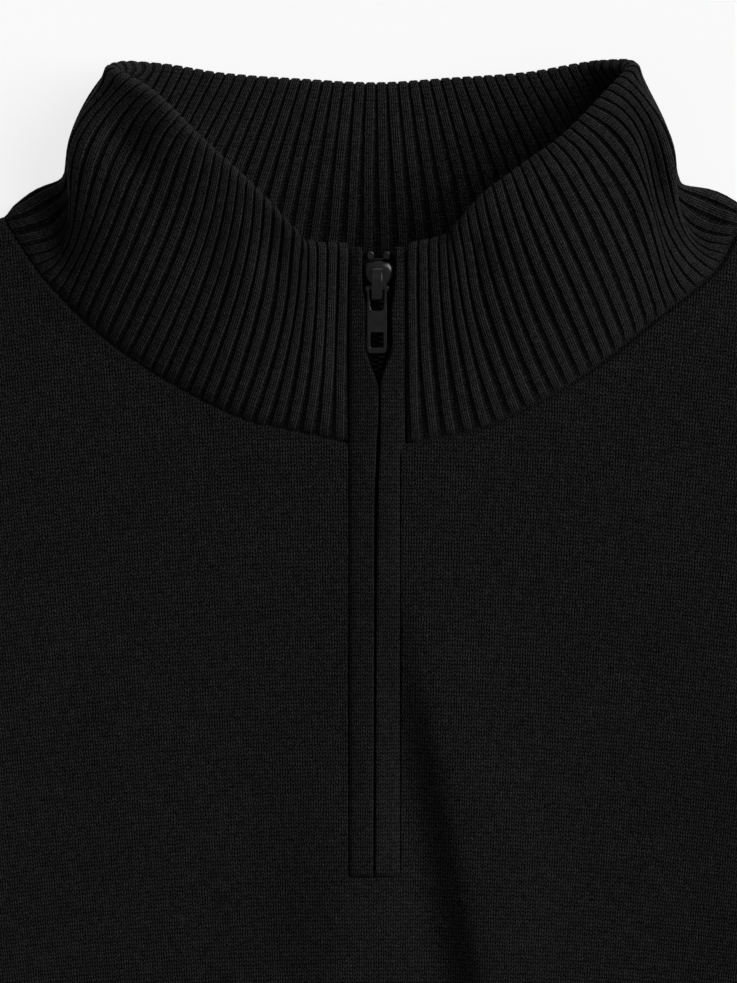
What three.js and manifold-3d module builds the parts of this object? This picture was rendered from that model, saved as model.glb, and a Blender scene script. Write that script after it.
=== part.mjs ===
// A knitted quarter zip sweater, laid flat on its back with the collar standing.
// Millimetres. X runs across the garment, +Y from the hem to the collar, +Z up out of the chest.
// Lengths along Y are counted from the collar seam at the centre front until the last step,
// which moves the whole garment so that its origin is the middle of the area it lies on.

import * as THREE from 'three';
import { mergeVertices } from 'three/addons/utils/BufferGeometryUtils.js';
import Module from 'manifold-3d';

// Cloth
const KNIT = 2.0;            // thickness of the jersey
const COLLAR_KNIT = 2.6;     // the collar is two layers of rib, measured between the ribs' mean faces
const RIB_DEPTH = 0.45;      // how far a rib stands above or below the mean face
const SEAM = 0.3;            // gap that parts two pieces where they are sewn

// Body, from the cut of a men's medium
const NECK = { x: 111, y: 69 };
const SHOULDER = { x: 225, y: 30 };
const UNDERARM = { x: 270, y: -176 };
const HEM_TOP = -551;
const HEM_LENGTH = 70;
const HEM_HALF = 235;
const BODY_HALF_AT_HEM = 243;

// Sleeve and cuff
const SLEEVE_ANGLE = 62;     // degrees that the laid sleeve points below the horizontal
const BICEP_HALF = 90;
const WRIST_HALF = 52;
const CUFF_HALF = 43;
const SLEEVE_LENGTH = 375;   // from the bicep line to the cuff
const CUFF_LENGTH = 70;

// Heights of the laid cloth's middle surface
const EDGE_HEIGHT = 3.3;     // upper layer where it lies on the lower one
const REST_HEIGHT = 6.8;     // upper layer away from its edges
const EDGE_ROLL = 48;        // width over which it comes down to an edge
const BAND_HEIGHT = 7.0;     // outer height of the laid cuffs and hem

// Ribs
const COLLAR_RIBS = 108;
const HEM_RIBS = 100;
const CUFF_RIBS = 18;

// Zip
const SLOT = { left: -8.4, right: 7.5, bottom: -130.8 };
const STRIP = { left: -8.1, right: 7.2, rightOnCollar: 8.6 };
const ZIP_TOP = 57.6;
const TAPE = { width: 11.5, low: -3.4, high: -2.6 };
const CHAIN = { half: 2.1, low: -3.7, high: -1.6 };
const SLIDER_Y = 48.9;
const SLIDER_X = 0.75;
const PULL_PIVOT = { y: -2.2, z: 1.6 };

const CLOTH = { color: 0x17171a, roughness: 0.95, metalness: 0.0 };
const RIB_CLOTH = { color: 0x151518, roughness: 0.95, metalness: 0.0 };
const TAPE_CLOTH = { color: 0x101012, roughness: 0.9, metalness: 0.0 };
const COIL = { color: 0x0d0d0e, roughness: 0.45, metalness: 0.0 };
const LACQUER = { color: 0x0b0b0c, roughness: 0.3, metalness: 0.6 };

// Tables

// Names the columns of a table's rows.
function table(columns, rows) {
  return rows.map((row) => Object.fromEntries(row.map((value, i) => [columns[i], value])));
}

// Smooth reading of a table between its rows, by cubic pieces through every row.
function reader(rows, key) {
  const at = rows.map((row) => row[key]);
  const last = rows.length - 1;
  const slope = (name, i) => {
    const a = Math.max(i - 1, 0);
    const b = Math.min(i + 1, last);
    return (rows[b][name] - rows[a][name]) / (at[b] - at[a]);
  };
  return (name, place) => {
    let i = 0;
    while (i < last - 1 && place > at[i + 1]) i += 1;
    const span = at[i + 1] - at[i];
    const t = Math.min(Math.max((place - at[i]) / span, 0), 1);
    const h = 1 - t;
    return h * h * (1 + 2 * t) * rows[i][name] + t * t * (3 - 2 * t) * rows[i + 1][name]
      + span * t * h * (h * slope(name, i) - t * slope(name, i + 1));
  };
}

const lerp = (a, b, t) => a + (b - a) * t;
const smoothstep = (low, high, x) => THREE.MathUtils.smoothstep(x, low, high);

// The collar's path. A row is one rib line, given by its base on the neck seam, a point half way
// up and its top edge. Ribs are counted from the left of the zip, round the back, to its right.
const COLLAR_COLUMNS = ['rib', 'baseX', 'baseY', 'baseZ', 'midX', 'midY', 'midZ', 'topX', 'topY', 'topZ'];
const COLLAR = table(COLLAR_COLUMNS, [
  [0, -8.4, 0.6, 12.0, -8.7, 29.4, 20.0, -8.4, 57.9, 27.0],
  [4, -27.9, 4.8, 12.0, -22.2, 33.3, 22.5, -21.0, 58.8, 29.5],
  [6, -36.9, 6.6, 12.0, -27.9, 38.4, 25.0, -25.5, 63.6, 33.5],
  [9, -48.9, 11.7, 11.5, -38.1, 43.8, 28.0, -33.6, 72.0, 37.0],
  [13, -63.9, 19.8, 11.0, -50.1, 52.5, 29.5, -43.2, 81.0, 37.5],
  [18, -81.0, 31.5, 10.0, -65.4, 60.9, 28.0, -54.9, 91.5, 37.0],
  [24, -98.1, 48.0, 8.5, -84.3, 70.5, 24.0, -68.7, 104.4, 35.0],
  [28, -106.5, 59.4, 6.8, -92.4, 77.4, 17.5, -77.1, 112.8, 29.5],
  [30, -111.0, 66.9, 5.4, -94.5, 78.3, 12.0, -76.2, 114.0, 21.0],
  [32, -110.7, 66.9, 1.7, -92.4, 78.6, 5.5, -71.1, 113.7, 9.5],
  [34, -105.6, 62.1, 1.4, -85.8, 78.0, 2.2, -65.1, 112.8, 4.2],
  [40, -79.8, 52.5, 1.4, -63.9, 77.7, 1.4, -46.2, 110.1, 1.8],
  [47, -40.8, 45.9, 1.4, -33.0, 75.9, 1.4, -23.1, 108.3, 1.6],
  [54, 0.0, 43.5, 1.4, 0.0, 75.0, 1.4, 0.0, 107.1, 1.6],
  [61, 40.8, 45.9, 1.4, 33.0, 75.9, 1.4, 23.1, 108.6, 1.6],
  [68, 79.2, 52.2, 1.4, 64.2, 77.4, 1.4, 45.9, 110.4, 1.8],
  [74, 103.2, 61.5, 1.4, 86.4, 77.7, 2.2, 64.8, 113.4, 4.2],
  [76, 108.0, 66.6, 1.7, 92.7, 78.0, 5.5, 70.2, 114.3, 9.5],
  [78, 108.3, 66.3, 5.4, 94.8, 76.5, 12.0, 75.3, 114.9, 21.0],
  [80, 106.5, 61.5, 6.8, 93.9, 73.2, 18.5, 76.2, 113.4, 29.5],
  [84, 101.4, 51.9, 8.5, 88.2, 68.7, 24.0, 70.2, 104.1, 35.0],
  [90, 84.0, 37.8, 10.0, 71.4, 63.3, 28.0, 56.7, 90.3, 37.0],
  [95, 67.8, 24.9, 11.0, 55.5, 52.5, 29.5, 43.5, 80.7, 37.5],
  [99, 52.8, 15.0, 11.5, 40.8, 43.8, 28.0, 32.4, 72.6, 37.0],
  [102, 39.6, 8.4, 12.0, 30.0, 38.4, 25.0, 25.5, 65.4, 34.0],
  [104, 30.3, 4.5, 12.0, 24.3, 33.3, 22.5, 21.9, 60.9, 30.0],
  [108, 9.3, 0.3, 12.0, 9.0, 29.4, 20.0, 9.6, 57.9, 27.0],
]);
const collarAt = reader(COLLAR, 'rib');

// A point of the collar's middle surface: rib counts round it, up runs from 0 at the seam to 1.
function collarPoint(rib, up) {
  const base = 2 * (up - 0.5) * (up - 1);
  const mid = 4 * up * (1 - up);
  const top = 2 * up * (up - 0.5);
  const mix = (axis) => base * collarAt('base' + axis, rib)
    + mid * collarAt('mid' + axis, rib) + top * collarAt('top' + axis, rib);
  return new THREE.Vector3(mix('X'), mix('Y'), mix('Z'));
}

function collarNormal(rib, up) {
  const round = collarPoint(Math.min(rib + 0.4, COLLAR_RIBS), up)
    .sub(collarPoint(Math.max(rib - 0.4, 0), up));
  const rise = collarPoint(rib, Math.min(up + 0.06, 1)).sub(collarPoint(rib, Math.max(up - 0.06, 0)));
  if (up === 0) rise.z = 0;
  return rise.cross(round).normalize();
}

// Solids from grids of points

// A closed wall between two grids of the same size. Each grid is a list of rows of points. A row
// runs across; where it is closed, its last point joins its first, as round a sleeve.
function wall(outside, inside, closed = false) {
  const rows = outside.length;
  const columns = outside[0].length;
  const points = [...outside.flat(), ...inside.flat()];
  const index = [];
  const out = (i, j) => i * columns + (j % columns);
  const back = (i, j) => rows * columns + out(i, j);
  const quad = (a, b, c, d) => index.push(a, b, c, a, c, d);
  const spans = closed ? columns : columns - 1;
  for (let i = 0; i < rows - 1; i += 1) {
    for (let j = 0; j < spans; j += 1) {
      quad(out(i, j), out(i, j + 1), out(i + 1, j + 1), out(i + 1, j));
      quad(back(i, j), back(i + 1, j), back(i + 1, j + 1), back(i, j + 1));
    }
  }
  for (let j = 0; j < spans; j += 1) {
    quad(out(0, j), back(0, j), back(0, j + 1), out(0, j + 1));
    quad(out(rows - 1, j), out(rows - 1, j + 1), back(rows - 1, j + 1), back(rows - 1, j));
  }
  for (let i = 0; i < rows - 1 && !closed; i += 1) {
    quad(out(i, 0), out(i + 1, 0), back(i + 1, 0), back(i, 0));
    quad(out(i, columns - 1), back(i, columns - 1), back(i + 1, columns - 1), out(i + 1, columns - 1));
  }
  return facingOut(points, index);
}

// A solid bar: closed sections one after another, with a flat cap on each end.
function bar(sections) {
  const sides = sections[0].length;
  const index = [];
  sections.slice(1).forEach((_, i) => {
    for (let j = 0; j < sides; j += 1) {
      const [a, b] = [i * sides + j, i * sides + ((j + 1) % sides)];
      index.push(a, b, b + sides, a, b + sides, a + sides);
    }
  });
  const end = (sections.length - 1) * sides;
  for (let j = 1; j < sides - 1; j += 1) {
    index.push(0, j + 1, j, end, end + j, end + j + 1);
  }
  return facingOut(sections.flat(), index);
}

// Builds the geometry, and turns every face round if they point inward.
function facingOut(points, index) {
  let volume = 0;
  for (let i = 0; i < index.length; i += 3) {
    const [a, b, c] = [points[index[i]], points[index[i + 1]], points[index[i + 2]]];
    volume += a.dot(b.clone().cross(c));
  }
  if (volume < 0) index.reverse();
  const geometry = new THREE.BufferGeometry();
  geometry.setAttribute('position', new THREE.Float32BufferAttribute(points.flatMap((p) => [p.x, p.y, p.z]), 3));
  geometry.setIndex(index);
  return geometry;
}

// Joins and cuts

const manifold = await Module();
manifold.setup();

function solid(geometry) {
  const bare = geometry.clone();
  bare.deleteAttribute('normal');
  bare.deleteAttribute('uv');
  const merged = mergeVertices(bare, 1e-5);
  return new manifold.Manifold(new manifold.Mesh({
    numProp: 3,
    vertProperties: new Float32Array(merged.attributes.position.array),
    triVerts: new Uint32Array(merged.index.array),
  }));
}

function geometryOf(body) {
  const mesh = body.getMesh();
  const geometry = new THREE.BufferGeometry();
  geometry.setAttribute('position', new THREE.BufferAttribute(new Float32Array(mesh.vertProperties), 3));
  geometry.setIndex([...mesh.triVerts]);
  return geometry;
}

// An outline drawn out between two heights.
function prism(outline, low, high, holes = []) {
  const shape = new THREE.Shape(outline.map(([x, y]) => new THREE.Vector2(x, y)));
  shape.holes = holes.map((hole) => new THREE.Path(hole.map(([x, y]) => new THREE.Vector2(x, y))));
  const geometry = new THREE.ExtrudeGeometry(shape, { depth: high - low, bevelEnabled: false });
  return geometry.translate(0, 0, low);
}

// Body outline

// The armhole, from the underarm to the shoulder point.
const ARMHOLE = table(['along', 'x', 'y'], [
  [0, UNDERARM.x, UNDERARM.y],
  [0.12, 251, -160],
  [0.3, 227, -128],
  [0.5, 213, -85],
  [0.75, 212, -25],
  [1, SHOULDER.x, SHOULDER.y],
]);
const armholeAt = reader(ARMHOLE, 'along');

// Side seam, from the hem to the underarm.
const SIDE = [[BODY_HALF_AT_HEM, HEM_TOP], [252, -470], [259, -360], [265, -260], [268.5, -205]];

function sideAndArmhole() {
  const arm = Array.from({ length: 25 }, (_, i) => [armholeAt('x', i / 24), armholeAt('y', i / 24)]);
  return [...SIDE, ...arm];
}

// The neckline follows the collar's base, kept a seam's gap outside it.
function neckline(fromRib, toRib, steps) {
  return Array.from({ length: steps + 1 }, (_, i) => {
    const rib = lerp(fromRib, toRib, i / steps);
    const point = collarPoint(rib, 0);
    const along = collarPoint(rib + 0.3, 0).sub(collarPoint(rib - 0.3, 0));
    const away = new THREE.Vector2(along.y, -along.x).normalize();
    const side = rib > 31 && rib < 77 ? -1 : 1;
    return [point.x - side * away.x * SEAM * 1.4, point.y - side * away.y * SEAM * 1.4];
  });
}

const mirrored = (points) => points.map(([x, y]) => [-x, y]).reverse();

function frontOutline() {
  const right = neckline(78.6, 107.6, 24);
  const left = neckline(0.4, 29.4, 24);
  return [
    ...sideAndArmhole(), ...right,
    [SLOT.right, 0], [SLOT.right, SLOT.bottom], [SLOT.left, SLOT.bottom], [SLOT.left, 0.2],
    ...left, ...mirrored(sideAndArmhole()),
  ];
}

function backOutline() {
  return [...sideAndArmhole(), ...neckline(34, 74, 24).reverse(), ...mirrored(sideAndArmhole())];
}

// Front panel's form

// Folds of the front. Each runs along a line, with its own width on either side and its height,
// which is negative for a trough. The first is the stiffer placket, and the next four lie round it.
const FOLD_COLUMNS = ['x0', 'y0', 'x1', 'y1', 'left', 'right', 'height'];
const FRONT_FOLDS = table(FOLD_COLUMNS, [
  [0, 10, -2, -150, 24, 20, 2.2],
  [11, -92, 30, -205, 13, 9, -3.0],
  [-16, -110, -6, -260, 18, 17, 2.2],
  [34, -120, 52, -240, 14, 22, 1.8],
  [118, -70, 128, -215, 26, 30, 2.6],
  [-98, -80, -106, -220, 22, 24, -1.4],
  [-232, -168, -120, -262, 14, 22, 2.4],
  [236, -176, 140, -300, 14, 24, 2.8],
  [-222, -60, -150, -30, 16, 20, 1.6],
  [205, -20, 140, 12, 16, 22, 1.4],
  [-150, -360, -40, -420, 20, 28, 2.2],
  [60, -380, 190, -470, 22, 30, 2.6],
  [-60, -480, 40, -520, 18, 26, 1.8],
]);

function foldHeight(folds, x, y) {
  return folds.reduce((sum, fold) => {
    const along = new THREE.Vector2(fold.x1 - fold.x0, fold.y1 - fold.y0);
    const length = along.length();
    along.normalize();
    const place = ((x - fold.x0) * along.x + (y - fold.y0) * along.y) / length;
    const aside = (y - fold.y0) * along.x - (x - fold.x0) * along.y;
    const width = aside > 0 ? fold.right : fold.left;
    const ends = smoothstep(-0.2, 0.25, place) * (1 - smoothstep(0.75, 1.2, place));
    return sum + fold.height * ends * Math.exp(-((aside / width) ** 2));
  }, 0);
}

function distanceToLine(x, y, line) {
  let best = Infinity;
  for (let i = 0; i < line.length - 1; i += 1) {
    const [[ax, ay], [bx, by]] = [line[i], line[i + 1]];
    const [dx, dy] = [bx - ax, by - ay];
    const t = Math.min(Math.max(((x - ax) * dx + (y - ay) * dy) / (dx * dx + dy * dy), 0), 1);
    best = Math.min(best, Math.hypot(x - ax - t * dx, y - ay - t * dy));
  }
  return best;
}

const SIDE_EDGE = [...SIDE, [UNDERARM.x, UNDERARM.y]];
const SHOULDER_EDGE = [[SHOULDER.x, SHOULDER.y], [NECK.x, NECK.y]];
const COLLAR_BASE = Array.from({ length: 81 }, (_, i) => {
  const rib = i <= 40 ? (i * 30) / 40 : 78 + ((i - 41) * 30) / 39;
  return collarPoint(rib, 0);
});

// Height of the front panel's middle surface.
function frontHeight(x, y) {
  const edge = Math.min(distanceToLine(Math.abs(x), y, SIDE_EDGE), distanceToLine(Math.abs(x), y, SHOULDER_EDGE));
  const flat = lerp(EDGE_HEIGHT, REST_HEIGHT, Math.sqrt(smoothstep(-EDGE_ROLL, EDGE_ROLL, edge) * 2 - 1));
  const folded = flat + foldHeight(FRONT_FOLDS, x, y) * smoothstep(0, EDGE_ROLL, edge);
  let nearest = COLLAR_BASE[0];
  let distance = Infinity;
  COLLAR_BASE.forEach((point) => {
    const away = Math.hypot(point.x - x, point.y - y);
    if (away < distance) [nearest, distance] = [point, away];
  });
  return lerp(nearest.z, Math.max(folded, EDGE_HEIGHT), 1 - Math.exp(-((distance / 42) ** 1.2)));
}

// Grid lines, closer together where the folds and the neck are.
const GRID_X = [0, 9, 16, 22, 29, 38, 50, 64, 80, 97, 112, 130, 150, 172, 196, 220, 246, 275];
const GRID_Y = [
  80, 62, 48, 34, 20, 8, -4, -18, -34, -52, -72, -92, -112, -132, -152, -174,
  -198, -226, -258, -294, -330, -366, -402, -438, -474, -510, -548, HEM_TOP - 6,
];

function frontPanel() {
  const across = [...GRID_X.slice(1).map((x) => -x).reverse(), ...GRID_X];
  const layer = (offset) => GRID_Y.map((y) => across.map(
    (x) => new THREE.Vector3(x, y, frontHeight(x, y) + offset),
  ));
  const slab = solid(wall(layer(KNIT / 2), layer(-KNIT / 2)));
  return geometryOf(slab.intersect(solid(prism(frontOutline(), -5, 60))));
}

// Collar

// Ribs are ridges of both faces. A face that lies on the ground stays flat.
function collar() {
  const heights = [0, 0.2, 0.42, 0.64, 0.84, 0.965];
  const ribs = Array.from({ length: COLLAR_RIBS * 2 + 1 }, (_, i) => i / 2);
  const face = (side) => heights.map((up) => ribs.map((rib) => {
    const ridge = rib % 1 === 0 ? -RIB_DEPTH : RIB_DEPTH;
    const slim = up > 0.9 ? 0.35 : 0;
    const middle = collarPoint(rib, up);
    const normal = collarNormal(rib, up);
    const point = middle.clone().addScaledVector(normal, side * (COLLAR_KNIT / 2 + ridge - slim));
    const lying = side * normal.z < -0.5 ? 1 - smoothstep(1.9, 2.6, middle.z) : 0;
    point.z = Math.max(lerp(point.z, 0, lying), 0);
    return point;
  }));
  const crown = ribs.map((rib) => {
    const ridge = rib % 1 === 0 ? -RIB_DEPTH : 0;
    const top = collarPoint(rib, 1);
    return top.addScaledVector(top.clone().sub(collarPoint(rib, 0.95)).normalize(), 0.6 + ridge);
  });
  return wall([...face(1), crown], [...face(-1), crown.map((p) => p.clone())]);
}

// Sleeves, cuffs and hem

// A laid tube's section: from one folded edge to the other, as places across it and heights.
// The first half of the list is the side it lies on, and the rest is the upper side.
function laidSection(width, height, topPoints, thickness, lift = () => 0) {
  const roll = Math.min(height * 1.1, width / 5);
  const outside = [];
  const inside = [];
  [0.04, 0.33, 0.67, 0.96].forEach((u) => {
    outside.push([lerp(0, width, u), 0]);
    inside.push([lerp(thickness * 1.6, width - thickness * 1.6, u), thickness]);
  });
  outside.push([width - 0.6, height * 0.22], [width, height * 0.5]);
  inside.push([width - thickness - 0.9, height * 0.4], [width - thickness - 0.3, height * 0.52]);
  for (let i = 0; i <= topPoints; i += 1) {
    const u = 1 - i / topPoints;
    const place = lerp(roll * 0.35, width - roll * 0.35, u);
    const edge = Math.min(place, width - place) / roll;
    const round = Math.sqrt(1 - (1 - Math.min(edge, 1)) ** 2);
    const top = height * lerp(0.55, 1, round);
    outside.push([place, top + lift(u, i)]);
    inside.push([lerp(thickness + 1.2, width - thickness - 1.2, u), Math.max(top - thickness, thickness + 0.5)]);
  }
  outside.push([0, height * 0.5], [0.6, height * 0.22]);
  inside.push([thickness + 0.3, height * 0.52], [thickness + 0.9, height * 0.4]);
  return { outside, inside };
}

// Rows of the sleeve: its inner edge, its outer edge and how much of the armhole's curve is left.
const DOWN = THREE.MathUtils.degToRad(SLEEVE_ANGLE);
const SLEEVE_AXIS = new THREE.Vector2(Math.cos(DOWN), -Math.sin(DOWN));
const SLEEVE_ACROSS = new THREE.Vector2(Math.sin(DOWN), Math.cos(DOWN));
const BICEP = new THREE.Vector2(UNDERARM.x + 8, UNDERARM.y - 13).addScaledVector(SLEEVE_ACROSS, BICEP_HALF);

const SLEEVE_COLUMNS = ['innerX', 'innerY', 'outerX', 'outerY', 'curve', 'height'];
const SLEEVE_CAP = table(SLEEVE_COLUMNS, [
  [UNDERARM.x, UNDERARM.y, SHOULDER.x, SHOULDER.y, 1, 7.6],
  [UNDERARM.x + 3, UNDERARM.y - 1, 262, 17, 0.8, 7.8],
  [UNDERARM.x + 5, UNDERARM.y - 3, 304, -1, 0.55, 7.9],
  [UNDERARM.x + 6, UNDERARM.y - 6, 347, -25, 0.3, 7.9],
  [UNDERARM.x + 7, UNDERARM.y - 9.5, 392, -58, 0.12, 7.9],
]);

// The sleeve below the bicep: how far down, half its width, the cloth's height and a lean across,
// whose changes are the creases inside the elbow and the folds above and below it.
const SLEEVE_DOWN = table(['down', 'half', 'height', 'lean'], [
  [0, 90, 7.8, 0],
  [32, 88.5, 7.9, 0.4],
  [66, 86, 7.6, 0.6],
  [112, 81, 7.1, -0.5],
  [160, 76.5, 7.9, 1.4],
  [192, 72, 6.8, -1.0],
  [228, 68.5, 7.9, 1.2],
  [285, 62, 7.2, -0.5],
  [340, 56, 7.7, 0.4],
  [SLEEVE_LENGTH, WRIST_HALF, 7.2, 0],
]);

function sleeveRows(side) {
  const down = SLEEVE_DOWN.map((row) => {
    const middle = BICEP.clone().addScaledVector(SLEEVE_AXIS, row.down);
    const inner = middle.clone().addScaledVector(SLEEVE_ACROSS, -row.half);
    const outer = middle.clone().addScaledVector(SLEEVE_ACROSS, row.half);
    return {
      innerX: inner.x, innerY: inner.y, outerX: outer.x, outerY: outer.y,
      curve: 0, height: row.height, lean: row.lean * side,
    };
  });
  return [...SLEEVE_CAP.map((row) => ({ ...row, lean: 0 })), ...down];
}

// The seam's gap beyond the armhole, square to its curve.
function beyondArmhole(u) {
  const along = new THREE.Vector2(
    armholeAt('x', u + 0.02) - armholeAt('x', u - 0.02),
    armholeAt('y', u + 0.02) - armholeAt('y', u - 0.02),
  ).normalize();
  return new THREE.Vector2(along.y, -along.x).multiplyScalar(SEAM * 1.6);
}

function sleeve(side) {
  const rings = sleeveRows(side).map((row) => {
    const inner = new THREE.Vector2(row.innerX, row.innerY);
    const outer = new THREE.Vector2(row.outerX, row.outerY);
    const width = inner.distanceTo(outer);
    const lift = (u) => row.lean * Math.sin(u * Math.PI * 2);
    const section = laidSection(width, row.height, 10, KNIT, lift);
    const place = ([q, z]) => {
      const u = q / width;
      const point = inner.clone().lerp(outer, u);
      const bow = new THREE.Vector2(armholeAt('x', u), armholeAt('y', u))
        .sub(new THREE.Vector2(UNDERARM.x, UNDERARM.y).lerp(new THREE.Vector2(SHOULDER.x, SHOULDER.y), u));
      point.addScaledVector(bow, row.curve).add(beyondArmhole(u));
      return new THREE.Vector3(side * point.x, point.y, Math.max(z, 0));
    };
    return { outside: section.outside.map(place), inside: section.inside.map(place) };
  });
  return wall(rings.map((ring) => ring.outside), rings.map((ring) => ring.inside), true);
}

// A ribbed band that closes the end of a tube. Only its upper side shows its ribs: the side it
// lies on is pressed flat.
function ribbedBand(start, axis, across, halfStart, halfEnd, length, ribs) {
  const rings = [0, 1].map((end) => {
    const half = lerp(halfStart, halfEnd, end);
    const ridge = (u, i) => (i % 2 ? RIB_DEPTH : -RIB_DEPTH);
    const section = laidSection(half * 2, BAND_HEIGHT, ribs * 2, KNIT * 0.8, ridge);
    const centre = start.clone().addScaledVector(axis, end * length);
    const place = ([q, z]) => {
      const point = centre.clone().addScaledVector(across, q - half);
      return new THREE.Vector3(point.x, point.y, z);
    };
    return { outside: section.outside.map(place), inside: section.inside.map(place) };
  });
  return wall(rings.map((ring) => ring.outside), rings.map((ring) => ring.inside), true);
}

function hemBand() {
  const start = new THREE.Vector2(0, HEM_TOP - SEAM);
  const axis = new THREE.Vector2(0, -1);
  return ribbedBand(start, axis, new THREE.Vector2(1, 0), HEM_HALF + 4, HEM_HALF, HEM_LENGTH, HEM_RIBS);
}

function cuff(side) {
  const axis = new THREE.Vector2(side * SLEEVE_AXIS.x, SLEEVE_AXIS.y);
  const across = new THREE.Vector2(side * SLEEVE_ACROSS.x, SLEEVE_ACROSS.y);
  const start = BICEP.clone().addScaledVector(SLEEVE_AXIS, SLEEVE_LENGTH + SEAM * 4);
  start.x *= side;
  return ribbedBand(start, axis, across, CUFF_HALF + 3, CUFF_HALF, CUFF_LENGTH, CUFF_RIBS);
}

// Zip and its placket

// Middle surface beside the zip: the collar's front edge above the seam, the panel below it.
function centreHeight(x, y) {
  if (y < 0) return frontHeight(x, y);
  const up = Math.min(y / 57.9, 1);
  return collarPoint(0, up).z;
}

// The slit between the two strips, which parts at the top round the slider and its pull.
const SLIT = table(['y', 'left', 'right'], [
  [SLOT.bottom + SEAM, -0.75, -0.45],
  [-60, -0.45, -0.15],
  [-17, -0.15, 0.15],
  [0, 0.5, 0.8],
  [12, 0.85, 1.15],
  [18, 0.3, 1.4],
  [23, -1.6, 2.8],
  [28, -3.0, 4.5],
  [40, -3.0, 4.5],
  [45, -3.8, 5.3],
  [50, -4.2, 5.7],
  [ZIP_TOP, -4.2, 5.7],
]);
const slitAt = reader(SLIT, 'y');
const STRIP_ROWS = [
  SLOT.bottom + SEAM, -112, -92, -74, -56, -38, -20, -8, 0, 6, 12, 18, 23, 28, 34, 42, 50, ZIP_TOP,
];

function placketStrip(side) {
  const sections = STRIP_ROWS.map((y) => {
    const outer = side < 0 ? STRIP.left : lerp(STRIP.right, STRIP.rightOnCollar, smoothstep(-2, 7, y));
    const inner = slitAt(side < 0 ? 'left' : 'right', y);
    const point = (x, lift) => new THREE.Vector3(x, y, centreHeight(x, y) + lift);
    return [
      point(outer, -1.1), point(inner, -1.1), point(inner, 0.9),
      point(inner + side * 0.7, 1.6), point(outer - side * 0.7, 1.6), point(outer, 0.9),
    ];
  });
  return bar(sections);
}

// Bands along the zip: a tape each side and the closed chain between them.
function zipBand(left, right, low, high, from, to) {
  const steps = 14;
  return bar(Array.from({ length: steps + 1 }, (_, i) => {
    const y = lerp(from, to, i / steps);
    const point = (x, lift) => new THREE.Vector3(x, y, centreHeight(x, y) + lift);
    return [point(left(y), low), point(right(y), low), point(right(y), high), point(left(y), high)];
  }));
}

function chainCentre(y) {
  return lerp((slitAt('left', y) + slitAt('right', y)) / 2, SLIDER_X, smoothstep(14, 30, y));
}

function zipTape(side) {
  const near = (y) => chainCentre(y) + side * (CHAIN.half + SEAM);
  const far = (y) => near(y) + side * TAPE.width;
  return zipBand(near, far, TAPE.low, TAPE.high, SLOT.bottom + 2, ZIP_TOP);
}

function zipChain() {
  const end = SLIDER_Y - 1.4;
  return zipBand(
    (y) => chainCentre(y) - CHAIN.half, (y) => chainCentre(y) + CHAIN.half,
    CHAIN.low, CHAIN.high, SLOT.bottom + 4, end,
  );
}

function topStop() {
  const shape = new THREE.Shape([[-0.9, -1.1], [0.9, -1.1], [1.1, 0.6], [0.4, 1.3], [-0.6, 1.3], [-1.1, 0.4]]
    .map(([x, y]) => new THREE.Vector2(x, y)));
  return new THREE.ExtrudeGeometry(shape, { depth: 1.9, bevelEnabled: false }).translate(0, 0, -2.2);
}

// Slider, in its own frame: y along the zip, z out of the cloth.
const SLIDER_OUTLINE = [
  [-2.9, -5.5], [2.9, -5.5], [3.5, -4.4], [3.8, -0.5], [4.5, 2.6],
  [4.5, 4.4], [3.6, 5.5], [-3.6, 5.5], [-4.5, 4.4], [-4.5, 2.6], [-3.8, -0.5], [-3.5, -4.4],
];
const PLATES = [{ low: -5.2, high: -4.1 }, { low: -1.0, high: 0.4 }];
const BRIDGE = { half: 1.7, low: -5.6, high: 4.0, top: 3.9 };

function slider() {
  const [under, over] = PLATES.map(({ low, high }) => solid(prism(SLIDER_OUTLINE, low, high)));
  const post = solid(prism([[-1.1, 0.8], [0, -0.9], [1.1, 0.8], [1.1, 5.2], [-1.1, 5.2]], -4.4, -0.8));
  const arch = new THREE.Shape();
  arch.moveTo(BRIDGE.low, 0.2);
  arch.lineTo(BRIDGE.low, 1.6);
  arch.bezierCurveTo(BRIDGE.low, 4.0, -3.6, BRIDGE.top, -0.8, BRIDGE.top);
  arch.bezierCurveTo(2.2, BRIDGE.top, BRIDGE.high, 3.2, BRIDGE.high, 0.2);
  arch.closePath();
  arch.holes.push(new THREE.Path([[-3.4, 0.3], [2.6, 0.3], [1.9, 2.0], [0.6, 2.75], [-2.6, 2.75], [-3.4, 2.2]]
    .map(([y, z]) => new THREE.Vector2(y, z))));
  const bridge = new THREE.ExtrudeGeometry(arch, { depth: BRIDGE.half * 2, bevelEnabled: false, curveSegments: 7 });
  bridge.translate(0, 0, -BRIDGE.half).rotateY(Math.PI / 2).rotateX(Math.PI / 2);
  return geometryOf(under.add(over).add(post).add(solid(bridge)));
}

// Pull, lying along the zip from its pivot bar. The origin is the middle of that bar.
function pull() {
  const outline = [
    [-2.6, 0.65], [2.6, 0.65], [3.5, -0.2], [3.45, -1.6], [3.0, -3.0], [3.0, -6.4], [3.45, -7.4],
    [3.45, -19.4], [2.9, -20.0], [-2.9, -20.0], [-3.45, -19.4],
    [-3.45, -7.4], [-3.0, -6.4], [-3.0, -3.0], [-3.45, -1.6], [-3.5, -0.2],
  ];
  const ring = [[-2.05, -0.65], [-2.05, -5.6], [-1.3, -6.9], [1.3, -6.9], [2.05, -5.6], [2.05, -0.65]];
  const square = [[-2.0, -13.6], [-2.0, -18.2], [2.0, -18.2], [2.0, -13.6]];
  return prism(outline, -0.65, 0.65, [ring, square]);
}

// Assembly

const garment = new THREE.Group();

function place(name, geometry, look, parent = garment) {
  const mesh = new THREE.Mesh(geometry, new THREE.MeshStandardMaterial(look));
  mesh.name = name;
  parent.add(mesh);
  return mesh;
}

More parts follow.
